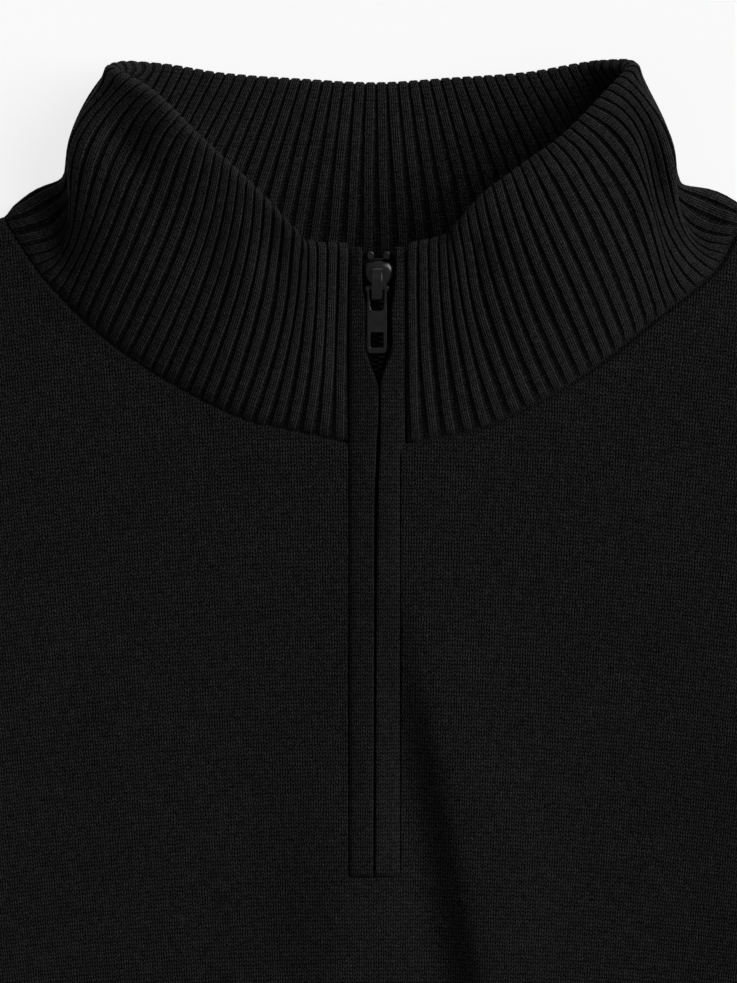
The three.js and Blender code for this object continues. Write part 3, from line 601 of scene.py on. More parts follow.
# %% Placket strips
# Along, and where the left and right strips' inner edges are.
SLIT = [
    [SLOT_END, -0.85, -0.35], [-60, -0.6, 0.0], [-17, -0.45, 0.5], [0, 0.2, 1.1], [12, 0.75, 1.25],
    [18, 0.3, 1.4], [23, -1.6, 2.8], [28, -3.0, 4.5], [40, -3.0, 4.5], [45, -3.8, 5.3],
    [50, -4.2, 5.7], [ZIP_TOP, -4.2, 5.7],
]


def centre_height(x, y):
    """Middle surface beside the zip: the collar's front edge above the seam, the panel below it."""
    on_collar = collar_point(np.zeros(np.shape(y)), np.clip(y / 57.9, 0, 1))[..., 2]
    return np.where(y < 0, front_height(x, np.minimum(y, 0)), on_collar)


def level_at(y, x=0.0):
    return float(centre_height(np.array([x]), np.array([y]))[0])


STRIP_ROUND, STRIP_ROWS = 32, 210


def strip(side):
    def place(i, j):
        angle = (i % STRIP_ROUND) / STRIP_ROUND * 2 * math.pi
        y = SLOT_END + 0.1 + (ZIP_TOP + 0.9 - SLOT_END) * j / STRIP_ROWS
        slit = smooth_reading(SLIT, np.minimum(y, ZIP_TOP))[:, 0 if side < 0 else 1]
        outer = np.where(side < 0, -8.15, 7.25 + 1.45 * smooth_step(-4, 1, y))
        end = np.minimum(j, STRIP_ROWS - j) / 2.2
        drawn_in = np.sqrt(1 - (1 - np.clip(end, 0.02, 1)) ** 2)
        half = np.abs(slit - outer) / 2
        c, s = np.cos(angle), np.sin(angle)
        c, s = np.sign(c) * np.abs(c) ** 0.75, np.sign(s) * np.abs(s) ** 0.85
        x = (slit + outer) / 2 + side * half * c * -1
        ripple = 0.10 * np.sin(y / 7.3 + side) * np.sin(y / 13.7) + 0.05 * np.sin(y / 3.7)
        thick = np.where(s > 0, 1.5 + ripple, 1.15)
        inner_roll = 0.5 * np.exp(-(((x - slit) / 1.3) ** 2)) * (s > 0)
        proud = 0.1 + 0.7 * (1 - smooth_step(6, 18, y))
        tilt = np.where(side < 0, 0.17, 0.13) * (np.abs(x - slit) - half)
        z = centre_height(x, y) + proud - tilt + (s * thick + inner_roll) * drawn_in
        around = np.where(s > 0, x, 2 * slit - x)
        return np.column_stack([x, y, z]), np.column_stack([around, y])

    name = f"placket_strip_{SIDES[side]}"
    return laid_cloth(name, STRIP_ROUND, STRIP_ROWS, place, welded=True, closed_ends=True)


strips = {side: strip(side) for side in SIDES}

# %% [markdown]
# ## Sleeves
# A laid sleeve is a flattened tube: flat where it rests, rounded at its two folded edges. One
# section is worked out as a curve and then divided evenly along the cloth, so that the stitches
# have one size all round. The rows follow the set-in cap and then the arm, and listed folds
# gather at the elbow and under the arm.

# %% Laid tubes
BICEP_HALF, SLEEVE_LENGTH, CUFF_LENGTH = 90, 375, 70
DOWN = math.radians(62)
SLEEVE_AXIS = np.array([math.cos(DOWN), -math.sin(DOWN)])
SLEEVE_ACROSS = np.array([math.sin(DOWN), math.cos(DOWN)])
BICEP = np.array([278, -189]) + SLEEVE_ACROSS * BICEP_HALF


def laid_section(width, height, count):
    """Places across, height shares and upper or lower side of count + 1 points round a laid tube."""
    q = np.linspace(0, 1, 900)
    x = width * (1 - np.cos(math.pi * q)) / 2
    edge = np.clip(np.minimum(x, width - x) / (height * 0.6), 0, 1)
    full = np.sqrt(1 - (1 - edge) ** 2)
    x = np.concatenate([x, x[::-1][1:]])
    z = np.concatenate([1 + full, 1 - full[::-1][1:]]) * height / 2
    length = np.concatenate([[0], np.hypot(np.diff(x), np.diff(z)).cumsum()])
    at = np.linspace(0, length[-1], count + 1)
    top = np.interp(at, length, np.concatenate([full, -full[::-1][1:]]))
    return np.interp(at, length, x), np.interp(at, length, z), np.clip(top, 0, 1), at - length[-1] / 4


def laid_tube(name, sections, thickness):
    """Joins sections to a tube of cloth. Their rows are across, along, height and the wale place."""
    sections = np.array(sections)
    sections[:, -1, :3] = sections[:, 0, :3]

    def place(i, j):
        return sections[j, i, :3], sections[j, i, 3:]

    rows, columns = len(sections) - 1, sections.shape[1] - 1
    return thickened(laid_cloth(name, columns, rows, place, welded=True), thickness)


# %% Sleeves
SLEEVE_CAP = [
    [270, -176, 225, 30, 1.0, 7.6, 0], [273, -177, 262, 17, 0.8, 7.8, 0],
    [275, -179, 304, -1, 0.55, 7.9, 0], [276, -182, 347, -25, 0.3, 7.9, 0],
    [277, -185.5, 392, -58, 0.12, 7.9, 0],
]
# Down the arm, half width, height and lean.
SLEEVE_DOWN = [
    [0, 90, 7.8, 0], [32, 88.5, 7.9, 0.4], [66, 86, 7.6, 0.6], [112, 81, 7.1, -0.5],
    [160, 76.5, 7.9, 1.4], [192, 72, 6.8, -1.0], [228, 68.5, 7.9, 1.2], [285, 62, 7.2, -0.5],
    [340, 56, 7.7, 0.4], [375, 52, 7.2, 0],
]
# Folds of each sleeve: from across, along to across, along, widths, height, bow.
SLEEVE_FOLDS = {
    1: [
        [-70, 150, 20, 118, 7, 12, 2.2, 5], [-72, 205, 34, 236, 8, 13, 2.6, -6],
        [-66, 250, 6, 292, 7, 10, 1.8, -4], [-78, 96, -8, 58, 9, 15, 1.9, 6],
        [30, 170, 66, 230, 8, 12, 1.5, 3], [-50, 330, 14, 352, 6, 10, 1.5, 3],
        [20, 402, 44, 318, 7, 12, 1.3, 2], [-40, 420, -18, 382, 5, 8, 1.1, 0],
        [52, 60, 70, 130, 9, 14, 1.2, -3], [-84, 30, -40, 44, 7, 10, 1.6, 3],
    ],
    -1: [
        [-74, 168, 10, 132, 8, 12, 2.4, 6], [-68, 222, 40, 262, 7, 14, 2.3, -7],
        [-60, 276, -4, 300, 6, 10, 1.9, -2], [-80, 84, 4, 70, 8, 14, 1.6, 5],
        [22, 196, 62, 168, 7, 12, 1.6, 2], [-46, 344, 26, 372, 7, 10, 1.6, 4],
        [34, 410, 30, 340, 6, 12, 1.2, 2], [-30, 424, -36, 392, 5, 7, 1.0, 0],
        [60, 96, 58, 40, 8, 14, 1.3, -2], [-86, 44, -52, 26, 7, 9, 1.4, 2],
    ],
}


def sleeve_table():
    rows = [list(row) for row in SLEEVE_CAP]
    for down, half, height, lean in SLEEVE_DOWN:
        middle = BICEP + SLEEVE_AXIS * down
        inner, outer = middle - SLEEVE_ACROSS * half, middle + SLEEVE_ACROSS * half
        rows.append([*inner, *outer, 0, height, lean])
    rows = np.array(rows, float)
    middle = (rows[:, :2] + rows[:, 2:4]) / 2
    along = np.concatenate([[0], np.hypot(*np.diff(middle, axis=0).T).cumsum()])
    return np.column_stack([along, rows])


SLEEVE_TABLE = sleeve_table()
SLEEVE_ROUND, SLEEVE_ROWS = 190, 120


def sleeve(side):
    sections = []
    for j in range(SLEEVE_ROWS + 1):
        along = SLEEVE_TABLE[-1, 0] * j / SLEEVE_ROWS
        ix, iy, ox, oy, curve, height, lean = smooth_reading(SLEEVE_TABLE, along)
        inner, outer = np.array([ix, iy]), np.array([ox, oy])
        width = np.hypot(*(outer - inner))
        q, z, top, around = laid_section(width, height, SLEEVE_ROUND)
        u = np.clip(q / width, 0, 1)
        point = inner + (outer - inner) * u[:, None]
        straight = np.array([270, -176]) + np.array([-45, 206]) * u[:, None]
        point = point + (armhole(u) - straight) * curve
        point = point + beyond_armhole(u) * 0.48
        fold = fold_height(SLEEVE_FOLDS[side], q - width / 2, np.full(len(q), along))
        near_ends = min(along / 3, (SLEEVE_TABLE[-1, 0] - along) / 3, 1)
        wave = lean * side * np.sin(u * 2 * math.pi)
        z = z + top * (fold * near_ends + wave) - top * 1.3 * (1 - near_ends)
        point[:, 0] *= side
        sections.append(np.column_stack([point, np.maximum(z, 0), around, np.full(len(q), -along)]))
    return laid_tube(f"sleeve_tube_{SIDES[side]}", sections, JERSEY_THICK)


sleeves = {side: sleeve(side) for side in SIDES}

# %% [markdown]
# ## Cuffs and hem band
# The same two by two rib closes the sleeves and the body. These bands are tubes too, with ribs all
# round. The rib's columns are laid along the section's length, and its ridges stand square to the
# tube.

# %% Bands
BAND_HEIGHT, RIB_THICK, SECTION_STEPS = 7.0, 1.3, 2400


def band(name, start, axis, across, halves, length, ribs, rows):
    sections = []
    count = ribs * RIB_STEPS
    steps = np.arange(count + 1)
    knit, at_rib, ridge = rib_profile(steps, np.full(count + 1, 0.62))
    for j in range(rows + 1):
        share = j / rows
        half = halves[0] + (halves[1] - halves[0]) * smooth_step(0, 1, np.array(share))
        section = laid_section(half * 2, BAND_HEIGHT, SECTION_STEPS)[:3]
        at = at_rib / ribs * SECTION_STEPS
        q, z, top = (np.interp(at, np.arange(SECTION_STEPS + 1), values) for values in section)
        normal = unit(np.column_stack([np.gradient(z), -np.gradient(q)])) * -1
        end = min(share, 1 - share) * length / 1.6
        drawn = math.sqrt(1 - (1 - min(end, 1)) ** 2)
        low = 1 - smooth_step(0, 1.2, z)
        lift = (ridge * 0.42 - 0.2) * drawn - 0.7 * (1 - drawn)
        q = q + normal[:, 0] * lift
        z = np.maximum(z + normal[:, 1] * lift * (1 - low), 0)
        sag = 0.25 * np.sin(at_rib / 3.1 + share * 2) * top
        point = start + axis * (share * length) + across * (q - half)[:, None]
        sections.append(np.column_stack([point, z + sag, knit, np.full(count + 1, -share * length)]))
    return laid_tube(name, sections, RIB_THICK)


RIGHT, DOWNWARD = np.array([1.0, 0.0]), np.array([0.0, -1.0])
hem = band("hem_rib", np.array([0, HEM_SEAM - 0.3]), DOWNWARD, RIGHT, (239, 235), 70, 200, 19)
cuffs = {}
for side, label in SIDES.items():
    mirror = np.array([side, 1])
    start = (BICEP + SLEEVE_AXIS * (SLEEVE_LENGTH + 1.2)) * mirror
    axis, across = SLEEVE_AXIS * mirror, SLEEVE_ACROSS * mirror
    cuffs[side] = band(f"cuff_rib_{label}", start, axis, across, (46, 43), CUFF_LENGTH, 36, 26)

# %% [markdown]
# ## Seams
# A knitted garment is linked together: the edges are sewn with a chain of the same yarn, which one
# sees as a small twisted roll down in the groove. It is a tube along the seam, whose radius swells
# with each stitch.


# %% Seam rolls
ROLL_SIDES = 8


def seam_roll(name, path, radius=0.62, stitch=1.5):
    """A closed roll of linking stitches along a path of points."""
    path = np.asarray(path, float)
    length = np.concatenate([[0], np.linalg.norm(np.diff(path, axis=0), axis=1).cumsum()])
    rows = int(length[-1] / stitch * 4)
    at = np.linspace(0, length[-1], rows + 1)
    line = np.column_stack([np.interp(at, length, path[:, k]) for k in range(3)])
    along = unit(np.gradient(line, axis=0))
    side_way = unit(np.cross(along, [0, 0, 1]))
    up_way = np.cross(side_way, along)

    def place(i, j):
        angle = (i % ROLL_SIDES) / ROLL_SIDES * 2 * math.pi
        swell = 0.6 + 0.5 * np.abs(np.sin(at[j] / stitch * math.pi + 0.5 * np.sin(angle)))
        swell = swell * np.where((j == 0) | (j == rows), 0.3, 1)
        offset = side_way[j] * np.cos(angle)[:, None] + up_way[j] * np.sin(angle)[:, None]
        point = line[j] + offset * (radius * swell)[:, None]
        point[:, 2] = np.maximum(point[:, 2], 0)
        return point, np.column_stack([i / ROLL_SIDES * 4, at[j]])

    return laid_cloth(name, ROLL_SIDES, rows, place, welded=True, closed_ends=True)


def collar_foot_path(first, last, lift):
    ribs = np.linspace(first, last, 160)
    foot = collar_point(ribs, 0.0)
    return np.column_stack([(neck_line(ribs) + foot[:, :2]) / 2, foot[:, 2] + lift])


def path(x, y, z):
    return np.column_stack(np.broadcast_arrays(x, y, z))


rolls = [
    seam_roll("collar_seam_left", collar_foot_path(0.3, 32.5, -0.3), 0.5, 1.35),
    seam_roll("collar_seam_right", collar_foot_path(75.5, 107.7, -0.3), 0.5, 1.35),
    seam_roll("collar_seam_back", collar_foot_path(34, 74, 0.1), 0.5),
]
for side, label in SIDES.items():
    u = np.linspace(0.02, 0.98, 90)
    x, y = (armhole(u) + beyond_armhole(u) * 0.25).T
    rolls.append(seam_roll(f"armhole_seam_{label}", path(x * side, y, front_height(x * side, y))))
    middle = BICEP + SLEEVE_AXIS * (SLEEVE_LENGTH + 0.6)
    x, y = (middle + SLEEVE_ACROSS * np.linspace(-45, 45, 20)[:, None]).T
    rolls.append(seam_roll(f"cuff_seam_{label}", path(x * side, y, 5.9)))
x = np.linspace(-238, 238, 160)
level = np.maximum(front_height(x, np.full(160, HEM_SEAM + 2.0)) - 0.2, 3.2)
rolls.append(seam_roll("hem_seam", path(x, HEM_SEAM - 0.2, level)))

# %% [markdown]
# The placket's lower end is closed by a short row of stitches across both strips.

# %% Placket end
x, y = np.linspace(-8.3, 7.4, 20), np.full(20, SLOT_END - 0.5)
rolls.append(seam_roll("placket_end_seam", path(x, y, front_height(x, y) + 0.2), 0.5, 1.2))

# %% [markdown]
# ## Zip tapes and teeth
# The woven tapes are sewn under the placket. They show only beside the slider. The closed chain is
# two rows of moulded teeth that lie between each other. A tooth is a small block with a waist.

# %% Tapes
CHAIN_HALF, TAPE_WIDTH, TAPE_THICK, SLIDER_X, SLIDER_Y = 2.1, 11.5, 0.55, 0.75, 48.9
TAPE_COLUMNS, TAPE_ROWS = 12, 120


def chain_centre(y):
    slit = smooth_reading(SLIT, y)
    mix = smooth_step(14, 30, y)
    return slit.mean(-1) * (1 - mix) + SLIDER_X * mix


def tape(side):
    low, high = -128.8, ZIP_TOP - 0.2

    def place(i, j):
        y = low + (high - low) * j / TAPE_ROWS
        sewn = chain_centre(y) + side * (CHAIN_HALF - 0.4)
        x = sewn + side * (TAPE_WIDTH + 0.4) * i / TAPE_COLUMNS
        z = centre_height(x, y) - 2.75 + 0.05 * np.sin(y / 3 + i)
        return np.column_stack([x, y, z]), np.column_stack([i / TAPE_COLUMNS * TAPE_WIDTH, y])

    cloth = laid_cloth(f"tape_cloth_{SIDES[side]}", TAPE_COLUMNS, TAPE_ROWS, place)
    return thickened(cloth, TAPE_THICK)


tapes = {side: tape(side) for side in SIDES}

# %% Teeth
TOOTH_PITCH, CHAIN_END = 1.5, -126.8


def zip_teeth():
    bm = bmesh.new()
    count = int((SLIDER_Y - 1.4 - CHAIN_END) / TOOTH_PITCH)
    for k in range(count):
        for side in SIDES:
            y = CHAIN_END + 0.4 + (k + (0.5 if side > 0 else 0)) * TOOTH_PITCH
            centre = float(chain_centre(np.array([y]))[0])
            level = level_at(y, centre)
            for v in bmesh.ops.create_cube(bm, size=1)["verts"]:
                head = v.co.x * side < 0
                v.co.x = centre + side * (0.95 + v.co.x * side * 2.1)
                v.co.y = y + SEAM_Y + v.co.y * (0.62 if head else 1.0)
                v.co.z = level - 2.65 + v.co.z * (1.9 if head else 1.5)
    bmesh.ops.scale(bm, vec=(MM, MM, MM), verts=bm.verts)
    bmesh.ops.bevel(
        bm, geom=list(bm.edges), offset=0.12 * MM, offset_type="OFFSET", segments=1, profile=0.5,
        affect="EDGES", material=-1,
    )
    bmesh.ops.recalc_face_normals(bm, faces=bm.faces)
    return finished("zip_teeth", bm)


teeth = zip_teeth()

# %% [markdown]
# ## Slider, stops and pull
# The slider is die-cast and lacquered black. Its upper plate is a low dome with a bridge over it,
# and the pull hangs from the bridge by its open end. They are modelled level, round the slider's
# own middle, and then tilted to the slope of the collar's front, as the frame has them.

# %% Zip metal
SLIDER_FOOT = 35.0
SLOPE = math.atan2(level_at(ZIP_TOP) - level_at(SLIDER_FOOT), ZIP_TOP - SLIDER_FOOT)
SLIDER_LEVEL = level_at(SLIDER_Y)


def set_on_zip(bm, offset=(0.0, 0.0, 0.0)):
    """Moves a small part, modelled in millimetres round the slider's middle, to its place."""
    bmesh.ops.translate(bm, vec=offset, verts=bm.verts)
    c, s = math.cos(SLOPE), math.sin(SLOPE)
    for v in bm.verts:
        x, y, z = v.co
        v.co = (
            (x + SLIDER_X) * MM,
            (y * c - z * s + SLIDER_Y + SEAM_Y) * MM,
            (y * s + z * c + SLIDER_LEVEL) * MM,
        )
    for face in bm.faces:
        face.smooth = True
    bmesh.ops.recalc_face_normals(bm, faces=bm.faces)


def softened(obj, width, segments=3):
    """Rounds the sharp edges and keeps flat faces flat."""
    bevel = obj.modifiers.new("Bevel", "BEVEL")
    bevel.width = width * MM
    bevel.segments = segments
    bevel.limit_method = "ANGLE"
    bevel.angle_limit = math.radians(35)
    bevel.harden_normals = True
    return obj


def drawn_out(bm, faces, way):
    """Extrudes faces a way and gives back what was drawn."""
    drawn = bmesh.ops.extrude_face_region(bm, geom=faces)["geom"]
    bmesh.ops.translate(bm, vec=way, verts=[g for g in drawn if isinstance(g, bmesh.types.BMVert)])
    return drawn


def flat_face(bm, outline, level):
    return bm.faces.new([bm.verts.new((x, y, level)) for x, y in outline])


RIGHT_EDGE = [
    (1.9, -5.5), (2.3, -3.6), (3.0, -1.2), (4.2, 0.6), (4.6, 2.4), (4.4, 3.9), (3.2, 5.1), (1.2, 5.5),
]
LEFT_EDGE = [(-x, y) for x, y in RIGHT_EDGE[::-1]]
SLIDER_OUTLINE = LEFT_EDGE[-1:] + RIGHT_EDGE + LEFT_EDGE[:-1]


def plate(bm, low, high, dome=0.0):
    """A slider plate: the outline drawn out between two heights, its top raised to a dome."""
    drawn = drawn_out(bm, [flat_face(bm, SLIDER_OUTLINE, low)], (0, 0, high - low))
    cap = next(g for g in drawn if isinstance(g, bmesh.types.BMFace))
    for k in range(3 if dome else 0):
        bmesh.ops.inset_region(bm, faces=[cap], thickness=0.5, depth=0.0)
        for v in cap.verts:
            v.co.z += dome * (0.5, 0.32, 0.18)[k]


def bridge(bm):
    """The arch that the pull hangs from, as a strip of faces along the arch, then widened."""
    outer = [(-6.2, 0.0), (-6.3, 1.5), (-6.0, 2.6), (-5.0, 3.5), (-3.0, 3.9), (-0.8, 3.95), (1.2, 3.8),
             (2.7, 3.2), (3.6, 2.2), (4.0, 1.1), (4.0, 0.2)]
    inner = [(-4.2, 0.0), (-4.1, 1.4), (-3.8, 2.1), (-3.2, 2.6), (-2.1, 2.75), (-0.8, 2.8), (0.4, 2.7),
             (1.3, 2.3), (1.9, 1.8), (2.3, 1.0), (2.6, 0.2)]
    made = bmesh.ops.create_grid(bm, x_segments=len(outer) - 1, y_segments=1, size=0.5)["verts"]
    for v in made:
        k = round((v.co.x + 0.5) * (len(outer) - 1))
        y, z = (outer if v.co.y > 0 else inner)[k]
        v.co = (-2.1, y, z)
    drawn_out(bm, list({f for v in made for f in v.link_faces}), (3.3, 0, 0))


def slider_body():
    bm = bmesh.new()
    plate(bm, -5.2, -4.1)
    plate(bm, -1.0, 0.1, dome=0.9)
    bridge(bm)
    post = bmesh.ops.create_cube(bm, size=1)["verts"]
    for v in post:
        v.co = (v.co.x * 2.2 * (0.4 if v.co.y < 0 else 1), 2.2 + v.co.y * 6, -2.6 + v.co.z * 3.4)
    set_on_zip(bm)
    return softened(finished("slider_body", bm), 0.32)


slider = slider_body()

# %% Stops
STOP_OUTLINE = [(-0.9, -1.1), (0.9, -1.1), (1.1, 0.6), (0.4, 1.3), (-0.6, 1.3), (-1.1, 0.4)]


def top_stop(side):
    bm = bmesh.new()
    drawn_out(bm, [flat_face(bm, STOP_OUTLINE, -2.2)], (0, 0, 2.0))
    set_on_zip(bm, (2.4 * side, 7.2, 0))
    return softened(finished(f"top_stop_{SIDES[side]}", bm), 0.3, 2)


stops = {side: top_stop(side) for side in SIDES}

# %% [markdown]
# The pull is one flat casting with two windows: a long one that the bridge passes through and a
# square one at its free end. A grid with the window cells taken out, drawn up to its thickness and
# bevelled, gives both windows their walls.

# %% Pull
# Rows of the pull: place along, half width outside, half width of the window.
PULL_ROWS = [
    (0.65, 3.1, 1.5), (0.2, 3.6, 1.9), (-0.5, 3.5, 2.05), (-1.3, 3.0, 2.05), (-3.0, 2.95, 2.05),
    (-5.6, 2.95, 2.05), (-6.5, 3.0, 1.7), (-6.9, 3.0, 1.1), (-7.4, 3.0, 1.1), (-13.0, 3.0, 1.9),
    (-13.6, 3.0, 1.9), (-18.2, 3.0, 1.9), (-19.2, 2.9, 1.8), (-20.0, 2.3, 1.4),
]
PULL_THICK = 1.24


def zip_pull():
    bm = bmesh.new()
    last = len(PULL_ROWS) - 1
    bmesh.ops.create_grid(bm, x_segments=3, y_segments=last, size=0.5)
    for v in bm.verts:
        column, row = round((v.co.x + 0.5) * 3), last - round((v.co.y + 0.5) * last)
        y, outside, window = PULL_ROWS[row]
        v.co = ((-outside, -window, window, outside)[column], y, -PULL_THICK / 2)
    windows = []
    for face in bm.faces:
        x, y, _ = face.calc_center_median()
        if abs(x) < 0.5 and (-6.9 < y < -0.65 or -18.2 < y < -13.6):
            windows.append(face)
    bmesh.ops.delete(bm, geom=windows, context="FACES")
    drawn_out(bm, list(bm.faces), (0, 0, PULL_THICK))
    for v in bm.verts:
        if v.co.z > 0:
            v.co.z += 0.12 * math.sin(math.pi * min(max((-v.co.y - 6) / 14, 0), 1))
    set_on_zip(bm, (-0.45, -2.2, 1.6))
    return softened(finished("pull_plate", bm), 0.3)


pull = zip_pull()

# %% [markdown]
# ## Finishes
# Each finish starts from what the thing is made of. Colours are written as they look on a screen
# and turned to light by one function. One small function adds a node, sets it and links it.


# %% Node helper
def linear(colour):
    """The light that a screen colour such as #1a1a1c stands for."""
    parts = [int(colour[k:k + 2], 16) / 255 for k in (1, 3, 5)]
    return (*(c / 12.92 if c <= 0.04045 else ((c + 0.055) / 1.055) ** 2.4 for c in parts), 1.0)


def feed(tree, node, inputs):
    """Gives each socket a value, a node or socket to link it to, or a sum such as
    ("MULTIPLY", a, b), which is added as a node first."""
    for key, value in inputs.items():
        if isinstance(value, tuple) and isinstance(value[0], str):
            value = add(tree, "ShaderNodeMath", dict(enumerate(value[1:])), operation=value[0])
        if isinstance(value, bpy.types.Node):
            value = value.outputs[0]
        if isinstance(value, bpy.types.NodeSocket):
            tree.links.new(value, node.inputs[key])
        else:
            node.inputs[key].default_value = value


def add(tree, kind, inputs=None, **settings):
    """Adds a node with its settings, and feeds its sockets."""
    made = tree.nodes.new(kind)
    for name, value in settings.items():
        setattr(made, name, value)
    feed(tree, made, inputs or {})
    return made


def new_material(name):
    material = bpy.data.materials.new(name)
    material.use_nodes = True
    return material, material.node_tree, material.node_tree.nodes["Principled BSDF"]


# %% [markdown]
# ## Black cotton jersey
# Fine stockinette of dyed cotton: columns of small V stitches with a dark gap between them, no
# shine, and a little fuzz. A wale is 1.35 mm wide and a course 1.17 mm high, measured in the
# photograph. The height of the yarn drives the bump and also the colour: shade is painted into the
# gaps between stitches and into the rib's channels, which are darker.

# %% Knit
WALE, COURSE = 1.35, 1.17


def v_stitch(tree, across, along, tick):
    """Height of V stitches: across runs from -0.5 to 0.5 over a wale, along counts courses, and tick
    says how deep the gap is between one stitch and the next."""
    side = add(tree, "ShaderNodeMath", {0: across}, operation="ABSOLUTE")
    leg = ("FRACT", ("SUBTRACT", along, ("MULTIPLY", side, 1.15)))
    off_leg = ("MULTIPLY", ("ABSOLUTE", ("SUBTRACT", leg, 0.5)), 2.0)
    off_yarn = ("MULTIPLY", ("ABSOLUTE", ("SUBTRACT", side, 0.25)), 4.0)
    across_yarn = ("SUBTRACT", 1.0, ("MULTIPLY", ("POWER", off_yarn, 2.0), 0.85))
    along_yarn = ("SUBTRACT", 1.0, ("MULTIPLY", ("POWER", off_leg, 2.0), tick))
    return ("MULTIPLY", across_yarn, along_yarn)


def swung(value, gain, middle=0.5):
    """A sum: how far a value is from its middle, times a gain."""
    return ("MULTIPLY", ("SUBTRACT", value, middle), gain)


def jersey_height(tree, u, v):
    across = ("SUBTRACT", ("FRACT", ("DIVIDE", u, WALE)), 0.5)
    return v_stitch(tree, across, ("DIVIDE", v, COURSE), 0.7)


def rib_height(tree, u, v):
    """Two wales of V stitches on each ridge and two of purl bumps in each channel."""
    place = add(tree, "ShaderNodeMath", {0: u}, operation="FRACT")
    ridge_across = ("SUBTRACT", ("FRACT", ("DIVIDE", ("SUBTRACT", place, 0.2), 0.3)), 0.5)
    ridge = v_stitch(tree, ridge_across, ("DIVIDE", v, COURSE), 0.4)
    purl_across = ("SUBTRACT", ("FRACT", ("DIVIDE", ("ADD", place, 0.2), 0.2)), 0.5)
    purl_along = swung(("FRACT", ("DIVIDE", v, COURSE)), 2.0)
    purl = ("SUBTRACT", ("SUBTRACT", 0.55, ("MULTIPLY", ("POWER", ("ABSOLUTE", purl_across), 2.0), 1.5)),
            ("MULTIPLY", ("POWER", ("ABSOLUTE", purl_along), 2.0), 0.35))
    on_ridge = add(tree, "ShaderNodeMath", {0: ("ABSOLUTE", ("SUBTRACT", place, 0.5)), 1: 0.3},
                   operation="LESS_THAN")
    return ("ADD", ("MULTIPLY", ridge, on_ridge), ("MULTIPLY", purl, ("SUBTRACT", 1.0, on_ridge)))


def knit_finish(name, dark, light, stitch_height, depth, across=1.0):
    """A yarn finish whose stitches are drawn by stitch_height(tree, u, v). across turns millimetres
    into the unit that the UV map counts across."""
    material, tree, shader = new_material(name)
    place = add(tree, "ShaderNodeUVMap", uv_map="Wales")
    parts = add(tree, "ShaderNodeSeparateXYZ", {0: place})
    thing = add(tree, "ShaderNodeTexCoord").outputs["Object"]
    fibres = add(tree, "ShaderNodeTexNoise", {"Vector": thing, "Scale": 3400.0, "Detail": 1.0})
    uneven = add(tree, "ShaderNodeTexNoise", {"Vector": thing, "Scale": 560.0, "Detail": 1.0})
    wash = add(tree, "ShaderNodeTexNoise", {"Vector": thing, "Scale": 45.0, "Detail": 3.0})
    shifts = add(tree, "ShaderNodeSeparateXYZ", {0: uneven.outputs["Color"]})
    u = ("ADD", parts.outputs[0], swung(shifts.outputs[1], 0.7 * across))
    v = ("ADD", parts.outputs[1], swung(shifts.outputs[2], 1.0))
    stitches = add(tree, "ShaderNodeMath", {0: stitch_height(tree, u, v), 1: 0.0}, operation="ADD")
    yarn = add(tree, "ShaderNodeMath", {0: stitches, 1: swung(fibres, 0.5)}, operation="ADD")
    patches = ("ADD", swung(uneven, 1.1), swung(wash, 0.3))
    # Painted shade: the colour is darker where the stitch height is low, in the gaps and the rib's
    # channels; fibres and patches add random tone.
    share = ("ADD", swung(stitches, 1.9, 0.38), ("ADD", swung(fibres, 3.6), patches))
    colour = add(
        tree, "ShaderNodeMix", {0: share, 6: linear(dark), 7: linear(light)},
        data_type="RGBA", clamp_factor=False, clamp_result=True,
    )
    bump = add(tree, "ShaderNodeBump", {"Height": yarn, "Distance": depth * MM, "Strength": 1.0})
    feed(tree, shader, {
        "Base Color": colour.outputs[2], "Normal": bump, "Roughness": 0.85, "Specular IOR Level": 0.06,
        "Sheen Weight": 0.012, "Sheen Roughness": 0.5,
    })
    return material


jersey_finish = knit_finish("black_cotton_jersey", "#000000", "#1d1d1d", jersey_height, 0.55)
rib_finish = knit_finish("black_cotton_rib", "#000000", "#222222", rib_height, 0.5, 0.13)
seam_finish = knit_finish("black_linking_yarn", "#000000", "#202020", jersey_height, 0.25)

# %% [markdown]
# ## Zip finishes
# The tape is woven polyester, drawn as a fine herringbone. The teeth are moulded acetal, smooth and
# almost matt. The slider and pull are die-cast zinc under black lacquer, which gives soft gloss and
# a faint unevenness.


# %% Tape, teeth and lacquer
def woven_tape():
    material, tree, shader = new_material("black_woven_polyester_tape")
    place = add(tree, "ShaderNodeUVMap", uv_map="Wales")
    parts = add(tree, "ShaderNodeSeparateXYZ", {0: place})
    u, v = parts.outputs[0], parts.outputs[1]
    zigzag = ("MULTIPLY", ("ABSOLUTE", ("SUBTRACT", ("FRACT", ("DIVIDE", u, 1.6)), 0.5)), 2.0)
    twill = ("FRACT", ("ADD", zigzag, ("DIVIDE", v, 0.55)))
    height = add(tree, "ShaderNodeMath", {0: ("ABSOLUTE", ("SUBTRACT", twill, 0.5)), 1: 2.0},
                 operation="MULTIPLY")
    colour = add(tree, "ShaderNodeMix", {0: height, 6: linear("#020202"), 7: linear("#0e0e0e")},
                 data_type="RGBA")
    bump = add(tree, "ShaderNodeBump", {"Height": height, "Distance": 0.15 * MM, "Strength": 1.0})
    feed(tree, shader, {
        "Base Color": colour.outputs[2], "Normal": bump, "Roughness": 0.7, "Specular IOR Level": 0.1,
    })
    return material


